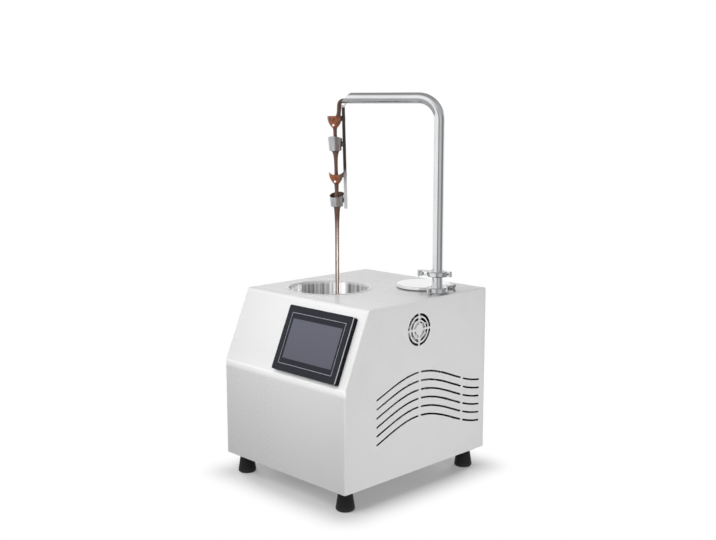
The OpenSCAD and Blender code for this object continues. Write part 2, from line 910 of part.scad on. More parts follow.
// Housing with a chamber for the gear pair, an inlet from the well and an outlet to the riser
module pump_housing() {
    color("#a9adb2") at_pump(pump_low) difference() {
        union() {
            gear_places() cylinder(r = pump_r, h = pump_h);
            translate([-pump_r, -gear_pitch_r, 0])
                cube([pump_r + pump_face, 2 * gear_pitch_r, pump_h]);
        }
        translate([0, 0, -overrun]) {
            gear_places() cylinder(r = chamber_r, h = chamber_h + overrun);
            translate([-gear_pitch_r - port_r, -port_r, 0])
                cube([2 * gear_pitch_r + port_r, 2 * port_r, chamber_h + overrun]);
            translate([-gear_pitch_r, 0, 0]) cylinder(r = port_r, h = pump_h + 2 * overrun);
            translate([0, -gear_pitch_r, 0]) cylinder(r = drive_r + run_fit, h = socket_h + overrun);
            translate([0, gear_pitch_r, 0]) cylinder(r = idler_r + run_fit, h = socket_h + overrun);
        }
        translate([0, 0, gear_mid - pump_low]) rotate([0, 90, 0])
            cylinder(r = bore_r, h = pump_face + overrun);
    }
}

module pump_base_plate() {
    color("#a9adb2") at_pump(plate_low) difference() {
        union() {
            gear_places() cylinder(r = pump_r, h = pump_plate_t);
            translate([-pump_r, -gear_pitch_r, 0])
                cube([pump_r + pump_face, 2 * gear_pitch_r, pump_plate_t]);
        }
        translate([0, -gear_pitch_r, -overrun])
            cylinder(r = drive_r + run_fit, h = pump_plate_t + 2 * overrun);
        translate([0, gear_pitch_r, pump_plate_t / 2]) cylinder(r = idler_r, h = pump_plate_t);
    }
}

function involute(r) = let (a = acos(gear_base_r / r)) tan(a) * 180 / PI - a;
function half_tooth(r) =
    90 / gear_teeth - gear_backlash / 2 + involute(gear_pitch_r) - involute(max(r, gear_base_r));
flank_r = [for (s = flank_shares) gear_base_r + s * (gear_tip_r - gear_base_r)];

function ray(r, a) = r * [cos(a), sin(a)];

// One gear outline: involute flanks between the root and the tip circle
module gear_outline() {
    rise = concat([gear_root_r], flank_r);
    fall = [for (i = [len(rise) - 1:-1:0]) rise[i]];
    polygon([for (i = [0:gear_teeth - 1]) let (mid = 360 * i / gear_teeth)
        each concat([for (r = rise) ray(r, mid - half_tooth(r))],
                    [for (r = fall) ray(r, mid + half_tooth(r))])]);
}

// The drive gear is one piece with its shaft, which runs down into the coupling
module pump_drive_gear() {
    tail = gear_low - coupling_top + shaft_grip;
    color("#c2b280") at_pump(gear_low) translate([0, -gear_pitch_r, 0]) {
        rotate([0, 0, 90]) linear_extrude(gear_w) gear_outline();
        translate([0, 0, -tail]) cylinder(r = drive_r, h = tail + gear_w + pump_plate_t / 2 - play);
    }
}

module pump_idler_gear() {
    color("#c2b280") at_pump(gear_low) translate([0, gear_pitch_r, 0]) difference() {
        rotate([0, 0, -90 + 180 / gear_teeth]) linear_extrude(gear_w) gear_outline();
        translate([0, 0, -overrun]) cylinder(r = idler_r + run_fit, h = gear_w + 2 * overrun);
    }
}

module idler_pin() {
    color(steel) at_pump(plate_low + pump_plate_t / 2) translate([0, gear_pitch_r, 0])
        cylinder(r = idler_r, h = gear_w + pump_plate_t);
}

// Split coupling with the gear motor's output shaft held in its lower end
module drive_coupling() {
    color("#77808a") at_pump(coupling_top - coupling_h) translate([0, -gear_pitch_r, 0]) {
        difference() {
            cylinder(r = coupling_r, h = coupling_h);
            translate([0, 0, coupling_h / 2]) cylinder(r = drive_r + run_fit, h = coupling_h);
            translate([0, -coupling_slot / 2, coupling_h / 2])
                cube([coupling_r + overrun, coupling_slot, coupling_h]);
        }
        translate([0, 0, -pump_plate_t]) cylinder(r = drive_r, h = pump_plate_t);
    }
}

// Worm gear motor: the gearbox stands under the coupling and the motor lies out to its side
module gear_motor() {
    color("#3a3d42") at_pump(motor_top) translate([0, -gear_pitch_r, 0]) difference() {
        union() {
            translate([0, 0, -gearbox_h]) linear_extrude(gearbox_h)
                rounded_rect(gearbox_w, gearbox_w, standoff_r);
            translate([-gearbox_w / 2, 0, -gearbox_h / 2]) rotate([0, -90, 0])
                cylinder(r = motor_r, h = motor_h);
        }
        translate([0, 0, -pump_plate_t]) cylinder(r = drive_r + run_fit, h = pump_plate_t + overrun);
    }
}

module motor_standoffs() {
    color(steel) at_pump(motor_top) translate([0, -gear_pitch_r, 0]) for (x = [-1, 1], y = [-1, 1])
        translate([x * standoff_off, y * standoff_off, 0]) cylinder(r = standoff_r, h = standoff_h);
}

// Riser

// Half section of a ferrule on a tube, measured up from the joint's middle plane
module ferrule_section(gap) {
    cone_h = (ferrule_r - neck_r) * tan(ferrule_ang);
    translate([0, gasket_t / 2 + gap]) polygon([[0, 0], [ferrule_r, 0], [ferrule_r, ferrule_rim],
        [neck_r, ferrule_rim + cone_h], [tube_r, neck_h], [0, neck_h]]);
}

// Bent pipe from a joint's middle plane: up along Z, round a bend and out along +X
module pipe_form(r, low, rise, bend, reach) {
    translate([0, 0, low]) cylinder(r = r, h = rise - bend - low);
    translate([0, 0, rise - bend]) quarter_bend(r, bend);
    translate([bend, 0, rise]) rotate([0, 90, 0]) cylinder(r = r, h = reach - bend);
}

// Bent pipe with its bore and with a ferrule at the joint
module clamped_pipe(gap, rise, bend, reach) {
    low = gasket_t / 2 + gap;
    difference() {
        union() {
            pipe_form(tube_r, low, rise, bend, reach);
            rotate_extrude() ferrule_section(gap);
        }
        pipe_form(bore_r, low - overrun, rise, bend, reach + overrun);
    }
}

// Quarter bend of a tube: it comes up along Z and leaves along +X
module quarter_bend(r, bend) {
    translate([bend, 0, 0]) rotate([90, 0, 0]) rotate([0, 0, 90])
        rotate_extrude(angle = 90) translate([bend, 0]) circle(r);
}

// Pipe from the lower joint down through the top panel and round a bend to the pump's outlet
module delivery_pipe() {
    color(steel) translate([riser_x, riser_y, joint_z[0]]) rotate([180, 0, flow_ang + 180])
        clamped_pipe(0, joint_z[0] - gear_mid, lower_bend_r, flow_len - pump_face - weld_gap);
}

module joint_gasket(i) {
    color("#f2f2ee") at_clamp(i) translate([0, 0, -gasket_t / 2])
        tube(ferrule_r - 2 * play, bore_r, gasket_t);
}

module lower_gasket() {
    joint_gasket(0);
}

module upper_gasket() {
    joint_gasket(1);
}

// Short tube between the two clamps, with a ferrule at each end
module spool() {
    length = joint_gap - gasket_t;
    color(steel) translate([riser_x, riser_y, joint_z[0]]) difference() {
        union() {
            translate([0, 0, gasket_t / 2]) cylinder(r = tube_r, h = length);
            rotate_extrude() ferrule_section(0);
            translate([0, 0, joint_gap]) rotate([180, 0, 0]) rotate_extrude() ferrule_section(0);
        }
        cylinder(r = bore_r, h = joint_gap);
    }
}

// Clamps

function stack_z(r) = gasket_t / 2 + ferrule_rim + (ferrule_r - r) * tan(ferrule_ang) + groove_play;

// Section of the clamp ring: bevelled outside, grooved inside for the two ferrules
module ring_section() {
    h = clamp_h / 2;
    polygon([[clamp_lip_r, h], [clamp_r - clamp_bevel, h], [clamp_r, h - clamp_bevel],
             [clamp_r, clamp_bevel - h], [clamp_r - clamp_bevel, -h], [clamp_lip_r, -h],
             [clamp_lip_r, -stack_z(clamp_lip_r)], [groove_r, -stack_z(groove_r)],
             [groove_r, stack_z(groove_r)], [clamp_lip_r, stack_z(clamp_lip_r)]]);
}

module half_ring(side) {
    intersection() {
        rotate_extrude() ring_section();
        translate([-clamp_r, side > 0 ? clamp_gap / 2 : -clamp_gap / 2 - clamp_r, -clamp_h / 2])
            cube([2 * clamp_r, clamp_r, clamp_h]);
    }
}

// Hinge knuckle with its web, between two heights
module knuckle(side, low, high) {
    web_y = side > 0 ? clamp_gap / 2 : -hinge_r;
    translate([0, 0, low]) {
        translate([-hinge_x, 0, 0]) cylinder(r = hinge_r, h = high - low);
        translate([-hinge_x, web_y, 0])
            cube([hinge_x - ear_x + overrun, hinge_r - clamp_gap / 2, high - low]);
    }
}

module hinge_bore() {
    translate([-hinge_x, 0, -clamp_h]) cylinder(r = pin_r + run_fit, h = 2 * clamp_h);
}

// Clamp half that carries the swing bolt between two lugs
module clamp_pivot_half() {
    knuckle_h = clamp_h / 6;
    difference() {
        union() {
            half_ring(1);
            knuckle(1, -knuckle_h, knuckle_h);
            for (side = [0, 1]) mirror([0, 0, side]) translate([0, 0, lug_in]) {
                translate([ear_x - overrun, clamp_gap / 2, 0])
                    cube([bolt_out - ear_x + overrun, ear_back - clamp_gap / 2, lug_h]);
                translate([bolt_out, pivot_y, 0]) cylinder(r = lug_r, h = lug_h);
                translate([bolt_out - overrun, clamp_gap / 2, 0])
                    cube([lug_r + overrun, pivot_y - clamp_gap / 2, lug_h]);
            }
        }
        hinge_bore();
        translate([bolt_out, pivot_y, -clamp_h]) cylinder(r = pin_r + run_fit, h = 2 * clamp_h);
        translate([bolt_out, pivot_y, -lug_in]) cylinder(r = eye_r + play, h = 2 * lug_in);
    }
}

// Clamp half with an open slot for the bolt; past the bolt its face follows the nut's swing
module clamp_slot_half() {
    knuckle_h = clamp_h / 6;
    difference() {
        union() {
            half_ring(-1);
            for (side = [0, 1]) mirror([0, 0, side]) {
                knuckle(-1, knuckle_h + play, clamp_h / 2);
                translate([ear_x - overrun, -ear_face, lug_in])
                    cube([bolt_out - ear_x + overrun, ear_face - clamp_gap / 2, lug_h]);
                intersection() {
                    translate([bolt_out, pivot_y, lug_in]) cylinder(r = seat_r, h = lug_h);
                    translate([bolt_out - overrun, -ear_face, lug_in])
                        cube([ear_len + overrun, ear_face - clamp_gap / 2, lug_h]);
                }
            }
        }
        hinge_bore();
    }
}

module clamp_pins() {
    for (p = [[-hinge_x, 0], [bolt_out, pivot_y]])
        translate([p[0], p[1], -clamp_h / 2]) cylinder(r = pin_r, h = clamp_h);
}

// Eye bolt that swings out of the slot
module swing_bolt() {
    translate([bolt_out, pivot_y, 0]) {
        difference() {
            translate([0, 0, -eye_t / 2]) cylinder(r = eye_r, h = eye_t);
            translate([0, 0, -eye_t]) cylinder(r = pin_r + run_fit, h = 2 * eye_t);
        }
        rotate([90, 0, 0]) translate([0, 0, (pin_r + eye_r) / 2])
            cylinder(r = bolt_r, h = bolt_end - (pin_r + eye_r) / 2);
    }
}

// Wing nut: a coned boss with two upright wings
module wing_nut() {
    wing_x = wing_reach - wing_tip_r;
    translate([bolt_out, -ear_face - nut_gap, 0]) rotate([90, 0, 0]) difference() {
        union() {
            cylinder(r1 = nut_r, r2 = nut_top_r, h = nut_h);
            rotate([90, 0, 90]) linear_extrude(wing_t, center = true)
                for (side = [0, 1]) mirror([side, 0]) {
                    polygon([[bolt_r, nut_h / 3], [nut_top_r, nut_h / 3], [wing_reach, wing_h],
                             [wing_x - wing_tip_r, wing_h], [bolt_r, nut_h]]);
                    translate([wing_x, wing_h]) circle(wing_tip_r);
                }
        }
        translate([0, 0, -overrun])
            cylinder(r = bolt_r + run_fit, h = wing_h + wing_tip_r + 2 * overrun);
    }
}

module lower_clamp_pivot_half() {
    color(steel) at_clamp(0) clamp_pivot_half();
}

module lower_clamp_slot_half() {
    color(steel) at_clamp(0) clamp_slot_half();
}

module lower_clamp_pins() {
    color("#9a9da2") at_clamp(0) clamp_pins();
}

module lower_swing_bolt() {
    color("#9a9da2") at_clamp(0) swing_bolt();
}

module lower_wing_nut() {
    color(steel) at_clamp(0) wing_nut();
}

module upper_clamp_pivot_half() {
    color(steel) at_clamp(1) clamp_pivot_half();
}

module upper_clamp_slot_half() {
    color(steel) at_clamp(1) clamp_slot_half();
}

module upper_clamp_pins() {
    color("#9a9da2") at_clamp(1) clamp_pins();
}

module upper_swing_bolt() {
    color("#9a9da2") at_clamp(1) swing_bolt();
}

module upper_wing_nut() {
    color(steel) at_clamp(1) wing_nut();
}

// Spout

// Bent tube with a ferrule below, and a mouth cut back so that its lower lip reaches furthest
module spout_tube() {
    color(steel) at_spout() difference() {
        translate([0, 0, joint_z[1]])
            clamped_pipe(run_fit, arm_z - joint_z[1], arm_bend_r, arm_reach);
        translate([arm_reach, 0, arm_z - tube_r]) rotate([0, -45, 0])
            translate([0, -arm_bend_r, -arm_bend_r]) cube(2 * arm_bend_r);
        translate([hook_x - hook_ring_r, 0, arm_z - tube_r - overrun])
            cylinder(r = hook_hole_r, h = tube_r);
    }
}

// Cascade

// Flat strip hung on a wire ring that passes through the spout's lip
module cascade_strip() {
    color("#8b8e92") at_cascade() {
        rotate([90, 0, 0]) rotate_extrude() translate([hook_ring_r, 0]) circle(hook_wire_r);
        translate([-strip_w / 2, -strip_t / 2, -strip_len - hook_ring_r])
            cube([strip_w, strip_t, strip_len]);
    }
}

function scoop_z(drop, pair) = -drop - pair * pair_pitch;

// Tab that laps the strip's back
module scoop_tab(z) {
    translate([-strip_w / 2, -strip_t / 2 - run_fit - tab_t, z - tab_h]) cube([tab_w, tab_t, tab_h]);
}

// Bell round a leaf's own axis, down from its top; its side is one arc that stands upright at the belly
module leaf_bell(arc, extra) {
    rotate_extrude() intersection() {
        translate([leaf_r - leaf_arc, -leaf_belly]) circle(arc, $fn = arc_fn);
        translate([0, -leaf_h - extra]) square([leaf_r, leaf_h + 2 * extra]);
    }
}

// Half of a pressed bell, hollow at the back, with a horn at each end of its rim and a drip hole
module leaf(pair) {
    top = scoop_z(leaf_drop, pair);
    at_cascade() difference() {
        union() {
            translate([scoop_out, 0, top]) rotate([0, 0, leaf_turn]) intersection() {
                leaf_bell(leaf_arc, 0);
                translate([-leaf_r, 0, -leaf_h]) cube([2 * leaf_r, leaf_r, leaf_h]);
            }
            scoop_tab(top);
        }
        translate([scoop_out, 0, top]) rotate([0, 0, leaf_turn]) {
            leaf_bell(leaf_arc - scoop_wall, overrun);
            translate([0, 0, horn_r - horn_dip]) rotate([-90, 0, 0]) cylinder(r = horn_r, h = 2 * leaf_r);
            translate([leaf_hole_x, 0, -leaf_h * leaf_hole_share]) rotate([-90, 0, 0])
                cylinder(r = leaf_hole_r, h = 2 * leaf_r);
        }
    }
}

// Tapered cup open at both ends, with a raked mouth; its high side faces along side times Y
module cup(pair, side) {
    top = scoop_z(cup_drop, pair);
    slant = (cup_r - cup_low_r) / cup_h;
    rake = atan2(cup_rake, 2 * cup_r);
    at_cascade() difference() {
        union() {
            translate([scoop_out, 0, top - cup_h]) cylinder(r1 = cup_low_r, r2 = cup_r, h = cup_h);
            scoop_tab(top - cup_rake);
        }
        translate([scoop_out, 0, top - cup_h - overrun])
            cylinder(r1 = cup_low_r - scoop_wall - overrun * slant,
                     r2 = cup_r - scoop_wall + overrun * slant, h = cup_h + 2 * overrun);
        translate([scoop_out, side * cup_r, top]) rotate([side * rake, 0, 0])
            translate([-2 * cup_r, -3 * cup_r, 0]) cube([4 * cup_r, 6 * cup_r, cup_h]);
    }
}

module upper_leaf() {
    color("#b8bbbf") leaf(0);
}

module upper_cup() {
    color("#b8bbbf") cup(0, 1);
}

module lower_leaf() {
    color("#b8bbbf") leaf(1);
}

module lower_cup() {
    color("#b8bbbf") cup(1, -1);
}

module cascade_rivets() {
    heights = [for (pair = [0, 1], drop = [leaf_drop, cup_drop + cup_rake]) scoop_z(drop, pair)];
    color(steel) at_cascade() for (z = heights)
        translate([0, -strip_t / 2 - run_fit - tab_t, z - tab_h / 2]) rotate([90, 0, 0])
            cylinder(r1 = rivet_head_r, r2 = rivet_r, h = rivet_head_h);
}

// Fan

module at_fan() {
    translate([side_in, fan_y, fan_z]) rotate([90, 0, 90]) children();
}

// Square frame with a round throat, and struts at its inner face that carry the hub
module fan_frame() {
    color(black) at_fan() translate([0, 0, -fan_depth]) difference() {
        union() {
            difference() {
                linear_extrude(fan_depth) rounded_rect(fan_size, fan_size, fan_wall);
                translate([0, 0, -overrun]) cylinder(r = fan_bore_r, h = fan_depth + 2 * overrun);
            }
            cylinder(r = fan_hub_r, h = fan_wall);
            for (a = [45:90:315]) rotate([0, 0, a])
                translate([0, -fan_strut / 2, 0]) cube([fan_bore_r + overrun / 2, fan_strut, fan_wall]);
        }
        translate([0, 0, -overrun]) {
            cylinder(r = fan_pin_r + run_fit, h = fan_wall + 2 * overrun);
            fan_corners() cylinder(r = fan_stud_r + play, h = fan_depth + 2 * overrun);
        }
    }
}

// Hub with pitched blades and a shaft that runs in the frame's hub
module fan_rotor() {
    blade_h = fan_depth - fan_wall - loose;
    color("#4a4d52") at_fan() translate([0, 0, fan_wall - fan_depth]) {
        translate([0, 0, -fan_wall]) cylinder(r = fan_pin_r, h = 2 * fan_wall);
        translate([0, 0, loose / 2]) cylinder(r = fan_hub_r, h = blade_h);
        intersection() {
            translate([0, 0, loose / 2]) tube(fan_sweep_r, fan_hub_r - overrun, blade_h);
            for (i = [0:fan_blades - 1]) rotate([0, 0, 360 * i / fan_blades])
                translate([0, 0, fan_depth / 2 - fan_wall / 2]) rotate([fan_blade_pitch, 0, 0])
                    translate([0, -fan_depth, 0]) cube([fan_size, 2 * fan_depth, fan_blade_t]);
        }
    }
}

// Studs welded to the inside of the panel, so that nothing shows outside
module fan_studs() {
    length = fan_depth + seam + fan_nut_h + loose;
    color(steel) at_fan() fan_corners()
        translate([0, 0, seam - length]) cylinder(r = fan_stud_r, h = length);
}

module fan_nuts() {
    color(steel) at_fan() fan_corners() translate([0, 0, -fan_depth - fan_nut_h]) difference() {
        cylinder(r = fan_nut_r, h = fan_nut_h, $fn = 6);
        translate([0, 0, -overrun]) cylinder(r = fan_stud_r + run_fit, h = fan_nut_h + 2 * overrun);
    }
}

// Electrics

module power_supply() {
    color("#b4b8bd") translate([supply_at[0], supply_at[1], z0 + sheet_t]) difference() {
        translate([-supply_size[0] / 2, -supply_size[1] / 2, 0]) cube(supply_size);
        for (i = [-3:3]) translate([i * supply_size[0] / 8, 0, supply_size[2]])
            cube([vent_w, supply_size[1] / 2, sheet_t], center = true);
    }
}

// Board on four posts, with three heater relays
module control_board() {
    color("#2f6b3f") translate([board_at[0], board_at[1], z0 + sheet_t]) {
        for (x = [-1, 1], y = [-1, 1])
            translate([x * (board_size[0] / 2 - 2 * post_r), y * (board_size[1] / 2 - 2 * post_r), 0])
                cylinder(r = post_r, h = board_up);
        translate([-board_size[0] / 2, -board_size[1] / 2, board_up]) cube(board_size);
        for (i = [-1:1])
            translate([i * relay_pitch - relay_size[0] / 2, 0, board_up + board_size[2]])
                cube(relay_size);
    }
}

// Flanged appliance inlet with three blades
module power_inlet() {
    color(black) at_rear(inlet_left) {
        difference() {
            union() {
                linear_extrude(flange_t) rounded_rect(inlet_size[0], inlet_size[1], flange_t);
                translate([0, 0, -inlet_depth])
                    linear_extrude(inlet_depth) square(inlet_body, center = true);
            }
            translate([0, 0, flange_t - inlet_depth / 2]) linear_extrude(inlet_depth)
                rounded_rect(inlet_cup[0], inlet_cup[1], flange_t);
        }
        for (i = [-1:1]) {
            rise = i == 0 ? inlet_pin[0] : -inlet_pin[0];
            translate([i * inlet_pin_pitch, rise, flange_t - inlet_depth / 2])
                linear_extrude(inlet_depth / 2 - flange_t) square(inlet_pin, center = true);
        }
    }
}

module rocker_frame() {
    color(black) at_rear(switch_left) difference() {
        union() {
            linear_extrude(flange_t) rounded_rect(switch_size[0], switch_size[1], flange_t);
            translate([0, 0, -switch_depth])
                linear_extrude(switch_depth) square(switch_body, center = true);
        }
        translate([0, 0, rocker_wall - switch_depth]) linear_extrude(switch_depth + flange_t)
            square([switch_body[0] - 2 * rocker_wall, switch_body[1] - 2 * rocker_wall], center = true);
        rotate([0, 90, 0]) cylinder(r = pin_r + run_fit, h = switch_body[0] - rocker_wall, center = true);
    }
}

// Rocker key on two stub pivots, at rest on its off side: a round-backed key with a shallow V face
module rocker() {
    w = switch_body[0] - 2 * rocker_wall - 2 * play;
    color("#b3201c") at_rear(switch_left) rotate([-rocker_tilt, 0, 0]) {
        intersection() {
            rotate([0, 90, 0]) cylinder(r = switch_body[1] / 2 - rocker_wall - play, h = w, center = true);
            for (side = [0, 1]) mirror([0, side, 0]) rotate([rocker_tilt, 0, 0])
                translate([-w / 2, -overrun, -rocker_r])
                    cube([w, rocker_r + overrun, rocker_r + 2 * flange_t]);
        }
        rotate([0, 90, 0]) cylinder(r = pin_r, h = w + rocker_wall, center = true);
    }
}

front_wrap();
right_side_panel();
left_side_panel();
rear_panel();
base_pan();
rear_screws();
rubber_feet();
foot_bolts();
foot_nuts();
screen_bezel();
screen_overlay();
screen_display();
screen_case();
screen_clips();
tank_bowl();
heater_band();
tank_insulation();
temperature_probe();
transfer_pipe();
pump_well();
well_gasket();
pump_cover();
pump_housing();
pump_base_plate();
pump_drive_gear();
pump_idler_gear();
idler_pin();
drive_coupling();
gear_motor();
motor_standoffs();
delivery_pipe();
lower_gasket();
lower_clamp_pivot_half();
lower_clamp_slot_half();
lower_clamp_pins();
lower_swing_bolt();
lower_wing_nut();
spool();
upper_gasket();
upper_clamp_pivot_half();
upper_clamp_slot_half();
upper_clamp_pins();
upper_swing_bolt();
upper_wing_nut();
spout_tube();
cascade_strip();
upper_leaf();
upper_cup();
lower_leaf();
lower_cup();
cascade_rivets();
fan_frame();
fan_rotor();
fan_studs();
fan_nuts();
power_supply();
control_board();
power_inlet();
rocker_frame();
rocker();
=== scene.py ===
import math

import bpy
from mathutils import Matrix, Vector


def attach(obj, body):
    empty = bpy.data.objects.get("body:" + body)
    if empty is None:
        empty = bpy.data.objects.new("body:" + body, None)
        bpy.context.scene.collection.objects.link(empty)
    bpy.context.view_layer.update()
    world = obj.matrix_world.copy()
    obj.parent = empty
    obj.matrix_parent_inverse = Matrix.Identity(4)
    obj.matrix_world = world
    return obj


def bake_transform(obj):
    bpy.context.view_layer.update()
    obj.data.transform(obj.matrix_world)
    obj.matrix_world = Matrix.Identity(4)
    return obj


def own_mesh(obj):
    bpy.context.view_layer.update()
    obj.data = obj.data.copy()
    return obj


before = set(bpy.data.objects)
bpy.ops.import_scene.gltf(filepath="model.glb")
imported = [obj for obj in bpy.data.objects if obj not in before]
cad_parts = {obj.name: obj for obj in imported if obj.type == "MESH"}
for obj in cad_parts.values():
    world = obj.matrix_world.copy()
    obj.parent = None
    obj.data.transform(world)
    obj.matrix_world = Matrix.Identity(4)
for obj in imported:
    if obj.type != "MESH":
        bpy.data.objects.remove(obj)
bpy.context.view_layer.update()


# Camera: a short telephoto lens at about the height of the spout, in front of the machine's right corner.
# It looks a little down, so that the top panel and the bowl's far wall show.
camera_pitch, camera_heading = math.radians(81.0), math.radians(45.28)
camera_data = bpy.data.cameras.new("camera")
camera_data.sensor_width = 36.0
camera_data.lens = 51.18
camera = bpy.data.objects.new("camera", camera_data)
camera.location = (1.6598, -1.6370, 0.8481)
camera.rotation_euler = (camera_pitch, 0.0, camera_heading)
bpy.context.scene.collection.objects.link(camera)
bpy.context.scene.camera = camera
bpy.context.scene.view_settings.view_transform = "Standard"


# Studio: a white room with soft boxes round the machine and darker gaps between them, which polished steel
# shows as grey bars. Five lamps stand for the boxes: a front one, a low side one, one above, and two that
# fill the left side and the back. Neither the camera nor the steel sees the lamps themselves.
class Wire:
    """A socket in a node tree. Sums, products and comparisons of wires add the Math nodes for them."""

    def __init__(self, tree, socket=None):
        self.tree = tree
        self.socket = socket

    def node(self, kind, inputs=None, output=0, stops=(), **settings):
        made = self.tree.nodes.new("ShaderNode" + kind)
        for name, value in settings.items():
            setattr(made, name, value)
        for index, (at, colour) in enumerate(stops):
            elements = made.color_ramp.elements
            stop = elements[index] if index < 2 else elements.new(at)
            stop.position = at
            stop.color = (*colour, 1.0)
        for name, value in (inputs or {}).items():
            feed(made, name, value)
        return Wire(self.tree, made.outputs[output])

    def math(self, operation, *values):
        return self.node("Math", dict(enumerate(values)), operation=operation)

    def __add__(self, other):
        return self.math("ADD", self, other)

    def __sub__(self, other):
        return self.math("SUBTRACT", self, other)

    def __rsub__(self, other):
        return self.math("SUBTRACT", other, self)

    def __mul__(self, other):
        return self.math("MULTIPLY", self, other)

    def __truediv__(self, other):
        return self.math("DIVIDE", self, other)

    def __lt__(self, other):
        return self.math("LESS_THAN", self, other)

    def __gt__(self, other):
        return self.math("GREATER_THAN", self, other)

    def __abs__(self):
        return self.math("ABSOLUTE", self)

    __radd__ = __add__
    __rmul__ = __mul__


def feed(node, name, value):
    """Link a wire to a node's input, or set the input to a plain value."""
    if isinstance(value, Wire):
        node.id_data.links.new(value.socket, node.inputs[name])
    else:
        node.inputs[name].default_value = value


def empty(tree):
    """Clear a new node tree, and give a wire to hang its nodes on."""
    for old in list(tree.nodes):
        tree.nodes.remove(old)
    return Wire(tree)


def grey(level):
    return (level, level, level)


def parts(place):
    """The three coordinates of a vector."""
    split = place.node("SeparateXYZ", {0: place}).socket.node
    return [Wire(place.tree, coordinate) for coordinate in split.outputs]


def ramp(value, start, end, first=0.0, last=1.0, **settings):
    """The first number up to the start, the last one from the end on, and a slope between them."""
    spans = {"From Min": start, "From Max": end, "To Min": first, "To Max": last}
    return value.node("MapRange", {"Value": value, **spans}, **settings)


def between(factor, first, second):
    """The first colour where the factor is 0, the second where it is 1."""
    first, second = (colour if isinstance(colour, Wire) else (*colour, 1.0) for colour in (first, second))
    return factor.node("Mix", {0: factor, 6: first, 7: second}, output=2, data_type="RGBA")


def is_seen(wire):
    """1 for what the camera sees straight or through something clear, 0 for other rays."""
    straight = wire.node("LightPath", output="Is Camera Ray")
    return straight + wire.node("LightPath", output="Is Transmission Ray")


def is_mirrored(wire):
    return wire.node("LightPath", output="Is Glossy Ray")


white = (1.0, 1.0, 1.0, 1.0)
ambient_level = 0.36
ceiling_grey, ground_grey = grey(0.34), grey(0.42)
upper_edge, ceiling_edge, ground_edge = (0.18, 0.30), (0.72, 0.90), (-0.17, -0.21)
studio = bpy.data.worlds.new("studio")
bpy.context.scene.world = studio
studio.use_nodes = True
room = empty(studio.node_tree)
look_x, look_y, look_z = parts(room.node("TexCoord", output="Generated"))
heading = room.math("ARCTAN2", look_y, look_x) / (2 * math.pi) + 0.5
level_view = room.node("ValToRGB", {0: heading}, stops=[
    (0.00, grey(1.05)), (0.305, grey(1.05)), (0.32, grey(0.26)), (0.36, grey(0.26)), (0.38, grey(0.60)),
    (0.49, grey(0.66)), (0.515, grey(0.26)), (0.64, grey(0.26)), (0.69, grey(1.0)), (1.00, grey(1.05))])
upper_view = room.node("ValToRGB", {0: heading}, stops=[
    (0.00, grey(0.80)), (0.12, grey(1.05)), (0.33, grey(1.05)), (0.42, grey(0.45)), (0.60, grey(0.50)),
    (0.70, grey(0.32)), (0.95, grey(0.32)), (1.00, grey(0.80))])
boxes = between(ramp(look_z, *upper_edge), level_view, upper_view)
boxes = between(ramp(look_z, *ceiling_edge), boxes, ceiling_grey)
boxes = between(ramp(look_z, *ground_edge), boxes, ground_grey)
backdrop = room.node("Background", {0: white, 1: 1.0})
ambient = room.node("Background", {0: white, 1: ambient_level})
reflected = room.node("Background", {0: boxes, 1: 1.0})
lit = room.node("MixShader", {0: is_mirrored(room), 1: ambient, 2: reflected})
world_output = studio.node_tree.nodes.new("ShaderNodeOutputWorld")
feed(world_output, "Surface", room.node("MixShader", {0: is_seen(room), 1: lit, 2: backdrop}))


def soft_box(name, place, aim, size, power):
    lamp_data = bpy.data.lights.new(name, "AREA")
    lamp_data.shape = "SQUARE"
    lamp_data.size = size
    lamp_data.energy = power
    lamp = bpy.data.objects.new(name, lamp_data)
    lamp.location = place
    lamp.rotation_euler = (Vector(aim) - Vector(place)).to_track_quat("-Z", "Y").to_euler()
    lamp.visible_camera = False
    lamp.visible_glossy = False
    bpy.context.scene.collection.objects.link(lamp)


soft_box("key_box", place=(0.10, -0.85, 0.80), aim=(0.05, -0.2, 0.32), size=0.6, power=7.0)
soft_box("side_box", place=(1.3, 0.05, 0.04), aim=(0.2, 0.0, 0.16), size=0.7, power=15.4)
soft_box("top_box", place=(0.2, 0.6, 2.4), aim=(0.0, 0.0, 0.4), size=1.2, power=6.8)
soft_box("left_box", place=(-1.25, 0.05, 0.42), aim=(-0.2, 0.0, 0.24), size=0.6, power=9.6)
soft_box("back_box", place=(-0.15, 1.30, 0.42), aim=(0.0, 0.23, 0.24), size=0.6, power=9.6)


# Floor: pale matt paper that runs on out of the picture, with the machine's soft shadow on it.
# Away from the machine it turns into plain white.
floor_size, mirrored_reach = 12.0, 2.2
shadow_core, shadow_margin = (0.185, 0.215, 0.0), 0.10
paper_dark, paper_light, paper_bounce = grey(0.50), grey(0.53), grey(0.13)
paper_glow, mirrored_glow = 0.18, 0.46


def length(place):
    return place.node("VectorMath", {0: place}, output="Value", operation="LENGTH")


def noise(place, scale, detail=2.0, rough=0.5):
    return place.node("TexNoise", {"Vector": place, "Scale": scale, "Detail": detail, "Roughness": rough})


def glow(wire, strength):
    return wire.node("Emission", {"Color": white, "Strength": strength})


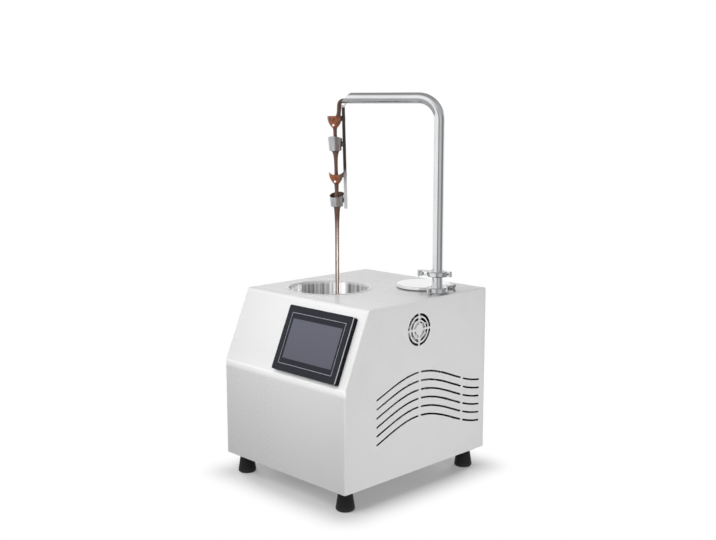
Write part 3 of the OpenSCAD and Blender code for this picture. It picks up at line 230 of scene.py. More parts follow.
bpy.ops.object.select_all(action="DESELECT")
bpy.ops.mesh.primitive_plane_add(size=floor_size, location=(0.0, 0.0, 0.0))
floor = bpy.context.object
floor.name = "floor"
paper = bpy.data.materials.new("paper")
paper.use_nodes = True
floor.data.materials.append(paper)
wire = empty(paper.node_tree)
place = wire.node("TexCoord", output="Object")
outside = wire.node("VectorMath", {0: place}, operation="ABSOLUTE")
outside = wire.node("VectorMath", {0: outside, 1: shadow_core}, operation="SUBTRACT")
outside = wire.node("VectorMath", {0: outside, 1: (0.0, 0.0, 0.0)}, operation="MAXIMUM")
away = ramp(length(outside), 0.0, shadow_margin, interpolation_type="SMOOTHSTEP")
matt = wire.node("BsdfDiffuse", {"Color": between(noise(place, 60.0), paper_dark, paper_light)})
shaded = wire.node("AddShader", {0: matt, 1: glow(wire, paper_glow)})
shown = wire.node("MixShader", {0: away, 1: shaded, 2: glow(wire, 1.0)})
dull = wire.node("BsdfDiffuse", {"Color": (*paper_bounce, 1.0)})
mirrored = wire.node("MixShader", {0: length(place) > mirrored_reach, 1: glow(wire, mirrored_glow),
                                   2: wire.node("BsdfTransparent")})
bounced = wire.node("MixShader", {0: is_mirrored(wire), 1: dull, 2: mirrored})
paper_output = paper.node_tree.nodes.new("ShaderNodeOutputMaterial")
feed(paper_output, "Surface", wire.node("MixShader", {0: is_seen(wire), 1: bounced, 2: shown}))


# Cabinet: mild steel sheet, folded and finished in gloss white powder coat, which lies a little unevenly,
# with a painted highlight along the front bend. The coat is smooth but not a mirror, and the inside faces
# are painted near black as shade. Screws hold the rear panel.
cabinet_middle = (0.0, 0.0, 0.24)
# The third grey is a painted highlight along the front bend. The fourth is painted shade for the inside
# faces.
coat_dark, coat_light, bend_painted_highlight, inside_painted_shade = grey(0.71), grey(0.74), grey(0.96), grey(0.012)
bend_low, bend_full, bend_top, slope_low, slope_high = 0.256, 0.265, 0.2725, 0.2745, 0.300
slope_share = 0.15
front_reach = -0.20


def new_finish(name):
    material = bpy.data.materials.new(name)
    material.use_nodes = True
    return material, material.node_tree.nodes["Principled BSDF"]


def on_object(material, scale=(1.0, 1.0, 1.0), turn=(0.0, 0.0, 0.0), centre=(0.0, 0.0, 0.0)):
    """Object coordinates measured from a centre, turned, then stretched."""
    place = Wire(material.node_tree).node("TexCoord", output="Object")
    place = place.node("VectorMath", {0: place, 1: centre}, operation="SUBTRACT")
    return place.node("Mapping", {"Vector": place, "Rotation": turn, "Scale": scale})


def facing(material):
    """The direction that the surface faces, in object coordinates."""
    return Wire(material.node_tree).node("TexCoord", output="Normal")


def dot(place, direction):
    return place.node("VectorMath", {0: place, 1: direction}, output="Value", operation="DOT_PRODUCT")


def bump(height, strength, depth):
    return height.node("Bump", {"Height": height, "Strength": strength, "Distance": depth})


def dress(material, *names):
    for name in names:
        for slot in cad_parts[name].material_slots:
            slot.material = material


def bend_highlight_mask(place):
    """Where the painted highlight lies: 1 along the front bend, with a soft edge below it and a faint one up
    the slope.
    """
    _, back, height = parts(place)
    bend = ramp(height, bend_low, bend_full) * ramp(height, bend_top, slope_low, 1.0, slope_share)
    return bend * ramp(height, slope_low, slope_high, 1.0, 0.0) * (back < front_reach)


def powder_coat(name, with_bend_highlight):
    material, shader = new_finish(name)
    place = on_object(material)
    cloud = noise(place, 5.0)
    peel = noise(place, 420.0)
    inside = dot(on_object(material, centre=cabinet_middle), facing(material)) < 0.0
    coat = between(cloud, coat_dark, coat_light)
    # A painted highlight along the front bend, where the real coat shows a reflection.
    if with_bend_highlight:
        coat = between(bend_highlight_mask(place), coat, bend_painted_highlight)
    # The inside faces are painted near black, as the shade inside the cabinet.
    feed(shader, "Base Color", between(inside, coat, inside_painted_shade))
    feed(shader, "Roughness", 0.22 + 0.06 * cloud + 0.06 * peel + 0.5 * inside)
    feed(shader, "Normal", bump(peel, 0.012, 0.0003))
    feed(shader, "Coat Weight", (0.25 + 0.1 * cloud) * (1.0 - inside))
    return material


dress(powder_coat("white_coat", with_bend_highlight=False), "right_side_panel", "left_side_panel", "rear_panel")
dress(powder_coat("white_coat_bend_highlight", with_bend_highlight=True), "front_wrap")


# Base pan: a tray of galvanised sheet under the machine, with the zinc's large pale crystals.
# Its four edges are folded up inside the panels. The power supply's case is made of the same sheet.
zinc, shader = new_finish("zinc_sheet")
place = on_object(zinc)
crystal = place.node("TexVoronoi", {"Vector": place, "Scale": 60.0}, output="Color")
tone = crystal.node("SeparateColor", {0: crystal})
feed(shader, "Base Color", between(tone, (0.42, 0.43, 0.44), (0.55, 0.56, 0.57)))
feed(shader, "Roughness", 0.34 + 0.16 * tone)
shader.inputs["Metallic"].default_value = 1.0
dress(zinc, "base_pan", "power_supply")


# Feet: moulded black rubber, tapered, each with a bolt up its middle.
# The mould leaves a dull skin, and the lower edge is scuffed grey.
scuff_height = 0.012
rubber, shader = new_finish("foot_rubber")
place = on_object(rubber)
skin = noise(place, 700.0)
scuff = noise(place, 45.0, 4.0, 0.6)
low = ramp(parts(place)[2], scuff_height, 0.0)
feed(shader, "Base Color", between(low * scuff, (0.010, 0.010, 0.011), (0.050, 0.050, 0.050)))
feed(shader, "Roughness", 0.50 + 0.15 * scuff)
feed(shader, "Normal", bump(skin, 0.20, 0.0003))
shader.inputs["Specular IOR Level"].default_value = 0.25
dress(rubber, "rubber_feet")


# Fasteners: zinc-plated steel bolts, nuts, screws and pins, with a faint grey haze.
# They are bought in, and their plating is duller than the polished fittings.
plated, shader = new_finish("zinc_plate")
haze = noise(on_object(plated), 160.0, 3.0)
feed(shader, "Base Color", between(haze, (0.50, 0.51, 0.52), (0.66, 0.67, 0.68)))
feed(shader, "Roughness", 0.24 + 0.14 * haze)
shader.inputs["Metallic"].default_value = 1.0
dress(plated, "rear_screws", "foot_bolts", "foot_nuts", "screen_clips", "fan_studs", "fan_nuts", "idler_pin",
      "lower_clamp_pins", "upper_clamp_pins", "lower_swing_bolt", "upper_swing_bolt", "motor_standoffs")


# Touch screen: a moulded frame with a fine spark texture and a painted highlight round its front edge, a
# printed film over its front and a lit panel behind the film's window. Clips hold the frame's case behind the
# slope.
# The film has one thin pale line round the window.
slope_run, slope_rise = 0.070, 0.162
slope_tilt = math.atan2(slope_rise, slope_run)
slope_foot = Vector((0.0, -0.230, 0.272))
up_slope = Vector((0.0, math.cos(slope_tilt), math.sin(slope_tilt)))
off_slope = Vector((0.0, -math.sin(slope_tilt), math.cos(slope_tilt)))
screen_across, screen_up = 0.0775, 0.0815
screen_middle = slope_foot + Vector((screen_across, 0.0, 0.0)) + screen_up * up_slope
# The pale band on the frame's sides, near its front edge, is a painted highlight.
edge_highlight_start, edge_highlight_pale = 0.0115, (0.50, 0.51, 0.53)
line_across, line_up, line_half_width, line_pale = 0.0843, 0.0570, 0.0005, (0.34, 0.35, 0.38)
display_half_height = 0.045
case_dark, case_light = (0.004, 0.004, 0.006), (0.007, 0.007, 0.010)


def screen_place(material):
    """Coordinates across, up and out from the screen's middle."""
    return on_object(material, turn=(-slope_tilt, 0.0, 0.0), centre=screen_middle)


def spark_skin(name, shine):
    """Plastic from a mould with a fine spark texture, ready for its colour."""
    material, shader = new_finish(name)
    spark = noise(on_object(material), 1400.0)
    feed(shader, "Roughness", 0.38 + 0.14 * spark)
    feed(shader, "Normal", bump(spark, 0.12, 0.0002))
    shader.inputs["Specular IOR Level"].default_value = shine
    return material, shader


def moulded(name, dark, light):
    material, shader = spark_skin(name, shine=0.22)
    feed(shader, "Base Color", between(noise(on_object(material), 30.0), dark, light))
    return material


dress(moulded("case_moulding", case_dark, case_light), "screen_case")

frame_black, shader = spark_skin("frame_moulding", shine=0.10)
outward = parts(screen_place(frame_black))[2]
on_side = dot(facing(frame_black), off_slope) < 0.5
# A painted highlight: a pale band on the frame's sides next to its front edge.
feed(shader, "Base Color", between((outward > edge_highlight_start) * on_side, case_light, edge_highlight_pale))
dress(frame_black, "screen_bezel")

film, shader = new_finish("screen_film")
place = screen_place(film)
across, upward, _ = parts(place)
from_line = across.math("MAXIMUM", abs(across) - line_across, abs(upward) - line_up)
cloud = noise(place, 25.0)
film_black = between(cloud, (0.007, 0.009, 0.014), (0.011, 0.013, 0.020))
feed(shader, "Base Color", between(abs(from_line) < line_half_width, film_black, line_pale))
feed(shader, "Roughness", 0.20 + 0.08 * cloud)
shader.inputs["Specular IOR Level"].default_value = 0.22
dress(film, "screen_overlay")

panel, shader = new_finish("screen_panel")
place = screen_place(panel)
rise = ramp(parts(place)[1], -display_half_height, display_half_height)
feed(shader, "Base Color", between(rise, (0.066, 0.068, 0.094), (0.078, 0.081, 0.110)))
feed(shader, "Roughness", 0.16 + 0.04 * noise(place, 40.0))
dress(panel, "screen_display")


# Bowl, pump well and lid: stainless steel spun and turned on a lathe, then polished, with the tool's fine
# rings round each piece's own axis. The bowl's wall has lighter and darker upright bars, painted reflections.
# The well and the lid's lower edge are painted dark, as shade where the lid meets the panel; the lid's top
# stays bright.
tool_rings = 1800.0
bowl_axis, bowl_inner = (-0.060, -0.029, 0.0), 0.0955
reflection_bars_full, reflection_bars_end, fine_reflection_bar_count = 0.4255, 0.4325, 70.0
lid_axis, lid_shade_top = (0.092, 0.132, 0.0), 0.4372


def flat(place):
    """A place with its height left out."""
    return place.node("VectorMath", {0: place, 1: (1.0, 1.0, 0.0)}, operation="MULTIPLY")


def times(first, second):
    """Two colours multiplied."""
    return first.node("Mix", {0: 1.0, 6: first, 7: second}, output=2, data_type="RGBA", blend_type="MULTIPLY")


def bands(value, detail):
    """Noise along one number."""
    return value.node("TexNoise", {"W": value, "Scale": 1.0, "Detail": detail}, noise_dimensions="1D")


def turned(name, axis):
    """Steel off the lathe: finish, shader, places from its axis, the tool's rings and a soft cloud."""
    material, shader = new_finish(name)
    place = on_object(material, centre=axis)
    rings = bands((length(flat(place)) + parts(place)[2]) * tool_rings, 3.0)
    feed(shader, "Normal", bump(rings, 0.06, 0.0002))
    shader.inputs["Metallic"].default_value = 1.0
    return material, shader, place, rings, noise(place, 14.0, 3.0)


bowl_steel, shader, place, rings, cloud = turned("spun_bowl", bowl_axis)
across, back, height = parts(place)
turn = across.math("ARCTAN2", back, across) / (2 * math.pi) + 0.5
# Painted reflections: bars of light and shade round the bowl's wall, in place of the studio seen in the
# steel.
broad_painted_reflections = turn.node("ValToRGB", {0: turn}, stops=[
    (0.00, grey(0.52)), (0.0015, grey(0.52)), (0.011, grey(2.0)), (0.070, grey(2.0)), (0.085, grey(0.40)),
    (0.30, grey(0.9)), (0.48, grey(0.5)), (0.66, grey(0.40)), (0.70, grey(0.68)), (0.75, grey(0.50)),
    (0.80, grey(0.46)), (0.815, grey(1.3)), (0.866, grey(1.3)), (0.882, grey(0.58)), (1.00, grey(0.52))])
fine_painted_reflections = ramp(bands(turn * fine_reflection_bar_count, 2.0), 0.35, 0.65, 0.6, 1.5)
within = length(flat(place)) < bowl_inner
wall = within * ramp(height, reflection_bars_end, reflection_bars_full)
spun = between(0.6 * rings + 0.4 * cloud, (0.86, 0.86, 0.87), (0.94, 0.94, 0.95))
feed(shader, "Base Color", times(spun, between(wall, grey(1.0), times(broad_painted_reflections, fine_painted_reflections))))
feed(shader, "Roughness", 0.22 + 0.18 * wall)
feed(shader, "Metallic", 1.0 - 0.85 * within)
dress(bowl_steel, "tank_bowl")

lid_steel, shader, place, rings, cloud = turned("turned_lid", lid_axis)
bright = between(0.6 * rings + 0.4 * cloud, (0.94, 0.94, 0.95), (1.0, 1.0, 1.0))
# Below the lid's foot the steel is painted dark, as shade where the lid meets the panel.
feed(shader, "Base Color", between(parts(place)[2] < lid_shade_top, bright, (0.16, 0.16, 0.17)))
feed(shader, "Roughness", 0.08 + 0.10 * rings + 0.06 * cloud)
dress(lid_steel, "pump_cover", "pump_well")


# Heater, wool and probe: the bowl's spring-steel heating band is stained straw and blue by heat.
# Pale mineral wool is wrapped round it, and a brass gland holds the probe in the bowl's floor.
stained, shader = new_finish("heat_stain")
stain = noise(on_object(stained), 22.0, 4.0)
feed(shader, "Base Color", stain.node("ValToRGB", {0: stain}, stops=[
    (0.25, (0.36, 0.28, 0.17)), (0.75, (0.30, 0.31, 0.36)), (0.5, (0.45, 0.38, 0.28))]))
feed(shader, "Roughness", 0.35 + 0.2 * stain)
shader.inputs["Metallic"].default_value = 1.0
dress(stained, "heater_band")

wool, shader = new_finish("mineral_wool")
fibre = noise(on_object(wool, scale=(1.0, 1.0, 3.0)), 260.0, 5.0, 0.7)
feed(shader, "Base Color", between(fibre, (0.42, 0.38, 0.24), (0.72, 0.67, 0.50)))
feed(shader, "Roughness", 0.85 + 0.1 * fibre)
feed(shader, "Normal", bump(fibre, 0.8, 0.002))
dress(wool, "tank_insulation")

brass_dark, brass_light = (0.55, 0.42, 0.16), (0.66, 0.52, 0.22)


def cast_metal(name, dark, light, rough):
    material, shader = new_finish(name)
    place = on_object(material)
    grain = noise(place, 380.0, 3.0)
    feed(shader, "Base Color", between(noise(place, 40.0), dark, light))
    feed(shader, "Roughness", rough + 0.15 * grain)
    feed(shader, "Normal", bump(grain, 0.1, 0.0003))
    shader.inputs["Metallic"].default_value = 1.0
    return material


dress(cast_metal("gland_brass", brass_dark, brass_light, 0.25), "temperature_probe")


# Pump: a machined aluminium housing with bronze gears, driven from below by a dark enamelled gear motor.
# All of it hangs under the well, out of sight.
dress(cast_metal("machined_aluminium", (0.50, 0.51, 0.52), (0.60, 0.61, 0.62), 0.30),
      "pump_housing", "pump_base_plate", "drive_coupling")
dress(cast_metal("gear_bronze", (0.50, 0.36, 0.17), (0.60, 0.45, 0.24), 0.28),
      "pump_drive_gear", "pump_idler_gear")
dress(moulded("motor_enamel", (0.020, 0.022, 0.025), (0.030, 0.032, 0.036)), "gear_motor")


# Riser, spool, clamps and spout: drawn stainless tube and cast fittings, polished until they mirror the room.
# The polishing belt leaves faint upright lines. The hinged clamps hold the tube's joints.
polished, shader = new_finish("polished_steel")
lines = noise(on_object(polished, scale=(1.0, 1.0, 0.05)), 900.0)
cloud = noise(on_object(polished), 18.0, 3.0)
feed(shader, "Base Color", between(cloud, (0.70, 0.71, 0.72), (0.82, 0.83, 0.84)))
feed(shader, "Roughness", 0.11 + 0.05 * lines + 0.05 * cloud)
feed(shader, "Normal", bump(lines, 0.03, 0.0001))
shader.inputs["Metallic"].default_value = 1.0
dress(polished, "delivery_pipe", "transfer_pipe", "spool", "spout_tube", "lower_clamp_pivot_half",
      "lower_clamp_slot_half", "upper_clamp_pivot_half", "upper_clamp_slot_half", "lower_wing_nut",
      "upper_wing_nut")


# Gaskets: soft white seals in the two clamped joints and under the lid.
# They show only as a thin pale line.
seal, shader = new_finish("white_seal")
bloom = noise(on_object(seal), 220.0)
feed(shader, "Base Color", between(bloom, (0.66, 0.66, 0.62), (0.76, 0.76, 0.73)))
feed(shader, "Roughness", 0.45 + 0.15 * bloom)
dress(seal, "lower_gasket", "upper_gasket", "well_gasket")


# Cascade: a strip of thin sheet with two leaves and two cups riveted to it, hung on a bare ring in the
# spout's lip. The leaves and most of the strip wear a film of chocolate. The cups are wet inside and bright
# outside, but for one dark run.
arm_heading = math.radians(206.4)
along_arm = Vector((math.cos(arm_heading), math.sin(arm_heading), 0.0))
across_arm = Vector((-math.sin(arm_heading), math.cos(arm_heading), 0.0))
riser_axis = Vector((0.174, 0.087, 0.0))
ring_out, ring_height = 0.2253, 0.86075
hang_tilt = math.radians(1.5)
scoop_out = 0.0215
upper_cup_drop, lower_cup_drop, cup_inner = 0.090, 0.218, 0.0168
run_inward, run_waver, run_core, run_edge = 0.008, 0.006, 0.0030, 0.0046
leaf_drop, leaf_shade_start, leaf_shade_full = 0.10, 0.008, 0.016
film_low, film_high, ring_low, ring_high = 0.680, 0.740, 0.853, 0.857
chocolate_dark = (0.050, 0.020, 0.011)
chocolate_mid = (0.165, 0.098, 0.074)
# The pale colour is a painted highlight for the falling threads.
painted_thread_highlight = (0.86, 0.76, 0.70)


def on_world(out, height):
    """A point in the arm's upright plane, out from the riser's axis."""
    return riser_axis + out * along_arm + Vector((0.0, 0.0, height))


def hung(drop):
    """How far out and how high the scoops' middle line lies, at a drop below the ring."""
    out = ring_out + scoop_out * math.cos(hang_tilt) - drop * math.sin(hang_tilt)
    height = ring_height - scoop_out * math.sin(hang_tilt) - drop * math.cos(hang_tilt)
    return out, height


def cup_finish(name, drop):
    """Bright sheet, wet with chocolate inside and with a dark run down its front."""
    material, shader = new_finish(name)
    place = on_object(material, centre=on_world(*hung(drop)))
    brushed = noise(on_object(material, scale=(1.0, 1.0, 0.15)), 700.0, 3.0)
    streaks = noise(on_object(material, scale=(1.0, 1.0, 0.10)), 210.0, 3.0)
    inside = (dot(flat(place), facing(material)) < 0.0) * (length(flat(place)) < cup_inner)
    from_run = abs(dot(place, -along_arm) - run_inward + run_waver * (streaks - 0.5))
    run = ramp(from_run, run_edge, run_core) * (dot(place, across_arm) > 0.0)
    wet = inside.math("MAXIMUM", inside, 0.85 * run)
    sheet = streaks.node("ValToRGB", {0: streaks}, stops=[
        (0.30, (0.46, 0.47, 0.50)), (0.70, (0.80, 0.81, 0.83))])
    feed(shader, "Base Color", between(wet, sheet, between(streaks, chocolate_dark, chocolate_mid)))
    feed(shader, "Roughness", 0.22 + 0.14 * brushed)
    feed(shader, "Metallic", 1.0 - wet)
    feed(shader, "Normal", bump(brushed, 0.08, 0.0002))
    return material


dress(cup_finish("upper_cup_sheet", upper_cup_drop), "upper_cup")
dress(cup_finish("lower_cup_sheet", lower_cup_drop), "lower_cup")

film_brown, shader = new_finish("chocolate_film")
runs = noise(on_object(film_brown, scale=(1.0, 1.0, 0.4)), 190.0, 4.0, 0.65)
thin = runs.node("ValToRGB", {0: runs}, stops=[
    (0.32, (0.115, 0.036, 0.016)), (0.52, (0.270, 0.082, 0.030)), (0.72, (0.440, 0.150, 0.055))])
# Away from its middle each leaf is painted darker, as shade on its curve. The thin film gives the paler
# middle.
sideways = abs(dot(on_object(film_brown, centre=on_world(*hung(leaf_drop))), along_arm))
feed(shader, "Base Color", between(ramp(sideways, leaf_shade_start, leaf_shade_full), thin, chocolate_mid))
feed(shader, "Roughness", 0.20 + 0.14 * runs)
feed(shader, "Normal", bump(runs, 0.35, 0.0008))
feed(shader, "Coat Weight", 0.2 + 0.2 * runs)
dress(film_brown, "upper_leaf", "lower_leaf")

strip_finish, shader = new_finish("coated_strip")
height = parts(on_object(strip_finish))[2]
smear = noise(on_object(strip_finish, scale=(1.0, 1.0, 0.3)), 120.0, 4.0, 0.6)
cover = ramp(height + 0.05 * smear, film_low, film_high) * ramp(height + 0.006 * smear, ring_high, ring_low)
coating = between(smear, (0.010, 0.007, 0.006), (0.030, 0.017, 0.012))
feed(shader, "Base Color", between(cover, (0.60, 0.60, 0.61), coating))
feed(shader, "Roughness", 0.20 + 0.2 * smear)
feed(shader, "Metallic", 1.0 - cover)
feed(shader, "Normal", bump(smear, 0.3, 0.0006))
shader.inputs["Specular IOR Level"].default_value = 0.25
dress(strip_finish, "cascade_strip", "cascade_rivets")


# Chocolate threads: it wells out of the spout's mouth, fills the upper leaf, runs off the leaves' tips and
# through the cups, and falls into the bowl. A thick warm liquid makes smooth round threads, wide under a
# scoop and thinner as they fall. The last stretch sinks into the bath when the spout turns away.
fall_drop = 0.226
fall_out, fall_height = hung(fall_drop)
highlight_turn, highlight_count = math.radians(40.0), 3.0
highlight_full, highlight_end, highlight_foot = 0.52, 0.60, 0.40
liquid, shader = new_finish("warm_chocolate")
runs = noise(on_object(liquid, scale=(1.0, 1.0, 0.12)), 220.0, 3.0)
across, back, height = parts(on_object(liquid, centre=on_world(fall_out, 0.0)))
round_thread = across.math("ARCTAN2", back, across) + highlight_turn
# Painted highlights: pale upright streaks round the threads over part of their fall.
highlight_ridges = ramp(across.math("COSINE", highlight_count * round_thread), 0.10, 0.65)
highlight_band = ramp(height, highlight_end, highlight_full) * (height > highlight_foot)
brown = between(runs, chocolate_dark, chocolate_mid)
feed(shader, "Base Color", between(highlight_ridges * highlight_band, brown, painted_thread_highlight))
feed(shader, "Roughness", 0.12 + 0.10 * runs)
feed(shader, "Normal", bump(runs, 0.15, 0.0006))
feed(shader, "Coat Weight", 0.12 + 0.1 * runs)
shader.inputs["Specular IOR Level"].default_value = 0.25
thread_sides, smooth_levels = 16, 2


def finish_smooth(piece, finish):
    bpy.ops.object.mode_set(mode="EDIT")
    bpy.ops.mesh.select_all(action="SELECT")
    bpy.ops.mesh.normals_make_consistent(inside=False)
    bpy.ops.object.mode_set(mode="OBJECT")
    smooth = piece.modifiers.new("smooth", "SUBSURF")
    smooth.levels = smooth.render_levels = smooth_levels
    bpy.ops.object.modifier_apply(modifier=smooth.name)
    bpy.ops.object.shade_smooth()
    bpy.ops.object.transform_apply(location=True, rotation=True, scale=True)
    piece.data.materials.append(finish)


def new_circle(name, sides, radius, **settings):
    """Add a round outline, and start to edit it with all of it selected."""
    bpy.ops.object.select_all(action="DESELECT")
    bpy.ops.mesh.primitive_circle_add(vertices=sides, radius=radius, **settings)
    piece = bpy.context.object
    piece.name = name
    bpy.ops.object.mode_set(mode="EDIT")
    bpy.ops.mesh.select_all(action="SELECT")
    return piece


def thread(name, sections):
    """A thread of chocolate through sections (out, height, half width, half depth, lean), ring by ring."""
    piece = new_circle(name, thread_sides, 1.0, fill_type="NGON", location=(0.0, 0.0, 0.0))
    place, size, leaning = Vector((0.0, 0.0, 0.0)), (1.0, 1.0), 0.0
    for index, (out, height, wide, deep, lean) in enumerate(sections):
        step = Vector((out, 0.0, height)) - place
        if index:
            bpy.ops.mesh.extrude_region_move(TRANSFORM_OT_translate={"value": step})
        else:
            bpy.ops.transform.translate(value=step)
        place = place + step
        grow_wide, grow_deep = wide / size[0], deep / size[1]
        bpy.ops.transform.resize(value=(grow_deep, grow_wide, grow_deep), center_override=place)
        if lean != leaning:
            tip = -math.radians(lean - leaning)
            bpy.ops.transform.rotate(value=tip, orient_axis="Y", center_override=place)
        size, leaning = (wide, deep), lean
    bpy.ops.object.mode_set(mode="OBJECT")
    piece.location = riser_axis
    piece.rotation_euler = (0.0, 0.0, arm_heading)
    finish_smooth(piece, liquid)
    return piece


def hung_thread(name, rings):
    """A round thread through rings (drop below the cascade's ring, radius), hung as the scoops are."""
    return thread(name, [(*hung(drop), radius, radius, 0.0) for drop, radius in rings])


def plumb_thread(name, rings):
    """A round thread that falls straight down through rings (drop below the lower cup's mouth, radius)."""
    return thread(name, [(fall_out, fall_height - drop, radius, radius, 0.0) for drop, radius in rings])


mouth_flow = thread("mouth_flow", [
    (0.2050, 0.8668, 0.0080, 0.0044, 90.0), (0.2075, 0.8668, 0.0084, 0.0046, 90.0),
    (0.2250, 0.8665, 0.0086, 0.0050, 90.0), (0.2298, 0.8656, 0.0088, 0.0051, 98.0),
    (0.2337, 0.8618, 0.0086, 0.0050, 130.0), (0.2347, 0.8573, 0.0080, 0.0052, 165.0),
    (0.2348, 0.8510, 0.0076, 0.0051, 180.0), (0.2355, 0.8420, 0.0074, 0.0046, 180.0),
    (0.2364, 0.8360, 0.0076, 0.0048, 180.0), (0.2372, 0.8318, 0.0080, 0.0060, 180.0),
    (0.2385, 0.8278, 0.0075, 0.0066, 180.0), (0.2395, 0.8240, 0.0050, 0.0048, 180.0)])
on_world(0.2298, 0.8656)
on_world(0.2372, 0.8318)
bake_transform(mouth_flow)


def next_ring(step, grow, middle):
    """Extrude the selected ring by a step, then widen or narrow it about a middle."""
    bpy.ops.mesh.extrude_region_move(TRANSFORM_OT_translate={"value": step})
    bpy.ops.transform.resize(value=(grow, grow, 1.0), center_override=middle)


leaf_top, leaf_turn = 0.028, math.radians(20.0)
pool_sides, pool_back = 32, -0.003
depth, radius = 0.0002, 0.0140
pool = new_circle("leaf_pool", pool_sides, radius, fill_type="NGON", location=(0.0, 0.0, -depth))
for next_depth, next_radius in ((0.0012, 0.0157), (0.0045, 0.0158), (0.0080, 0.0150), (0.0115, 0.0138),
                                (0.0125, 0.0110)):
    next_ring((0.0, 0.0, depth - next_depth), next_radius / radius, (0.0, 0.0, -next_depth))
    depth, radius = next_depth, next_radius
bpy.ops.mesh.select_all(action="SELECT")
bpy.ops.mesh.bisect(plane_co=(0.0, pool_back, 0.0), plane_no=(0.0, 1.0, 0.0), use_fill=True, clear_inner=True)
bpy.ops.object.mode_set(mode="OBJECT")
pool.location = on_world(*hung(leaf_top))
pool.rotation_euler = (0.0, 0.0, arm_heading + leaf_turn)
finish_smooth(pool, film_brown)
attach(pool, "cascade")

upper_fall = hung_thread("upper_fall", (
    (0.0520, 0.0030), (0.0530, 0.0058), (0.0548, 0.0056), (0.0575, 0.0047), (0.063, 0.0044), (0.073, 0.0043),
    (0.086, 0.0044), (0.092, 0.0066), (0.096, 0.0115), (0.100, 0.0138), (0.104, 0.0132), (0.108, 0.0090),
    (0.112, 0.0070), (0.119, 0.0053), (0.129, 0.0046), (0.139, 0.0043), (0.156, 0.0042), (0.162, 0.0046),
    (0.1655, 0.0075), (0.1675, 0.0040)))
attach(upper_fall, "cascade")

lower_fall = hung_thread("lower_fall", (
    (0.1800, 0.0030), (0.1810, 0.0058), (0.1828, 0.0057), (0.1855, 0.0052), (0.190, 0.0050), (0.196, 0.0047),
    (0.210, 0.0045), (0.217, 0.0068), (0.221, 0.0110)))
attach(lower_fall, "cascade")

long_fall = plumb_thread("long_fall", (
    (-0.008, 0.0060), (-0.004, 0.0130), (0.001, 0.0136), (0.005, 0.0130), (0.009, 0.0088), (0.014, 0.0069),
    (0.026, 0.0064), (0.041, 0.0054), (0.064, 0.0048), (0.100, 0.00465), (0.150, 0.0046), (0.1805, 0.0046),
    (0.1840, 0.0040)))
on_world(fall_out, fall_height - 0.016)
on_world(fall_out, fall_height - 0.150)
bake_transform(long_fall)

bath_height = 0.325
landing_fall = plumb_thread("landing_fall", (
    (0.1775, 0.0030), (0.1800, 0.0041), (0.1835, 0.0045), (0.220, 0.0045), (0.290, 0.0045), (0.3015, 0.0050),
    (0.3065, 0.0066), (0.3095, 0.0074)))
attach(landing_fall, "cabinet")
on_world(fall_out, bath_height)
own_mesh(landing_fall)


# Chocolate bath: what lies in the bowl, with a rolled edge where it wets the wall.
# Rings spread over it from the place where the thread lands.
bath_radius, bath_depth, bath_sides, edge_rise = 0.0946, 0.024, 48, 0.0030
ripple_radius, slack = 0.056, 0.0001
bowl_middle = Vector((bowl_axis[0], bowl_axis[1], bath_height))
to_landing = on_world(fall_out, bath_height) - bowl_middle


def choose(piece, test):
    """Select the vertices whose place passes the test, with the edges and faces between them."""
    bpy.ops.object.mode_set(mode="EDIT")
    bpy.ops.mesh.select_mode(type="VERT")
    bpy.ops.mesh.select_all(action="DESELECT")
    bpy.ops.object.mode_set(mode="OBJECT")
    for vertex in piece.data.vertices:
        vertex.select = test(vertex.co)
    bpy.ops.object.mode_set(mode="EDIT")


bath = new_circle("chocolate_bath", bath_sides, bath_radius, location=(0.0, 0.0, 0.0))
bpy.ops.mesh.primitive_circle_add(vertices=bath_sides, radius=ripple_radius, location=to_landing)
bpy.ops.mesh.select_all(action="SELECT")
bpy.ops.mesh.bridge_edge_loops()
choose(bath, lambda place: (place - to_landing).length < ripple_radius + slack)
radius = ripple_radius
for next_radius, rise in ((0.047, 0.0005), (0.040, -0.0005), (0.033, 0.0008), (0.026, -0.0008),
                          (0.019, 0.0014), (0.013, -0.0010), (0.009, 0.0006), (0.005, 0.0020)):
    next_ring((0.0, 0.0, rise), next_radius / radius, to_landing)
    radius = next_radius
bpy.ops.mesh.edge_face_add()
choose(bath, lambda place: place.length > bath_radius - slack)
bpy.ops.mesh.extrude_region_move(TRANSFORM_OT_translate={"value": (0.0, 0.0, edge_rise)})
bpy.ops.mesh.extrude_region_move(TRANSFORM_OT_translate={"value": (0.0, 0.0, -bath_depth)})
bpy.ops.mesh.edge_face_add()
bpy.ops.object.mode_set(mode="OBJECT")
bath.location = bowl_middle
still, shader = new_finish("still_chocolate")
cloud = noise(on_object(still), 16.0, 3.0)
swirl = noise(on_object(still, scale=(1.0, 0.35, 1.0), turn=(0.0, 0.0, arm_heading)), 60.0, 3.0)
feed(shader, "Base Color", between(0.5 * cloud + 0.5 * swirl, (0.052, 0.021, 0.011), (0.105, 0.048, 0.029)))
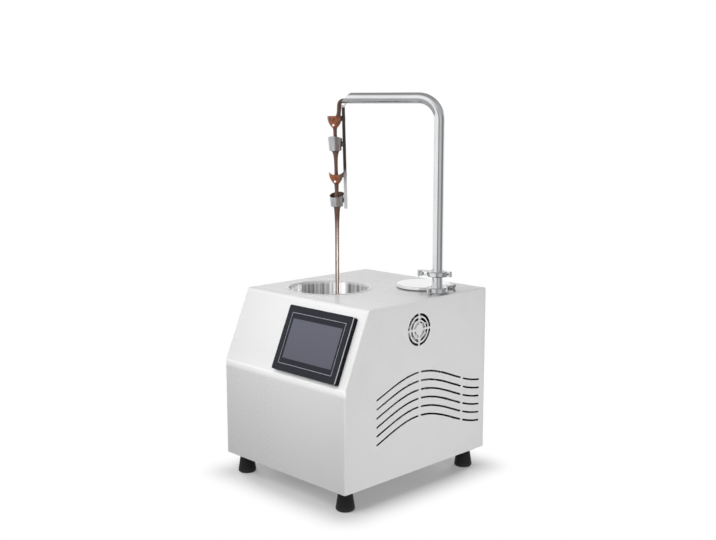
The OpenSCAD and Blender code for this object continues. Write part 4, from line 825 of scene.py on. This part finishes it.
feed(shader, "Roughness", 0.10 + 0.12 * cloud)
feed(shader, "Normal", bump(swirl, 0.10, 0.0012))
feed(shader, "Coat Weight", 0.3 + 0.2 * cloud)
finish_smooth(bath, still)
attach(bath, "cabinet")


# Fan: a bought-in axial fan in a square black frame, held on studs behind the grille.
# Its rotor is moulded in pale grey; its blade tips are painted dark, as the frame's shadow on them.
fan_axis, tip_shade_start, tip_shade_full = (0.0, -0.002, 0.369), 0.0290, 0.0310
dress(moulded("fan_moulding", (0.010, 0.010, 0.011), (0.016, 0.016, 0.017)), "fan_frame")
rotor_grey, shader = new_finish("rotor_moulding")
place = on_object(rotor_grey, centre=fan_axis)
mottle = noise(place, 120.0, 3.0)
from_axis = length(place.node("VectorMath", {0: place, 1: (0.0, 1.0, 1.0)}, operation="MULTIPLY"))
# Painted shadow: the blade tips beyond this radius are dark, where the frame shades them.
tip = ramp(from_axis + 0.002 * mottle, tip_shade_start, tip_shade_full)
feed(shader, "Base Color", between(tip, (0.62, 0.63, 0.64), (0.020, 0.020, 0.021)))
feed(shader, "Roughness", 0.42 + 0.15 * mottle)
dress(rotor_grey, "fan_rotor")


# Electrics: a green board that carries relays and stands on brass posts, and black mouldings for the inlet
# and the switch. The switch's key is moulded in red.
post_top, relay_foot = 0.0614, 0.0632
board, shader = new_finish("circuit_board")
place = on_object(board)
height = parts(place)[2]
track = place.node("TexBrick", {"Vector": place, "Scale": 90.0, "Mortar Size": 0.06}, output="Fac")
mask = between(track, (0.012, 0.085, 0.030), (0.020, 0.130, 0.050))
post = height < post_top
with_relays = between(height > relay_foot, mask, (0.018, 0.020, 0.024))
feed(shader, "Base Color", between(post, with_relays, brass_dark))
feed(shader, "Roughness", 0.30 + 0.15 * noise(place, 300.0))
feed(shader, "Metallic", post)
dress(board, "control_board")
dress(moulded("inlet_moulding", (0.012, 0.012, 0.013), (0.018, 0.018, 0.019)), "power_inlet", "rocker_frame")
dress(moulded("key_moulding", (0.30, 0.012, 0.010), (0.38, 0.018, 0.014)), "rocker")
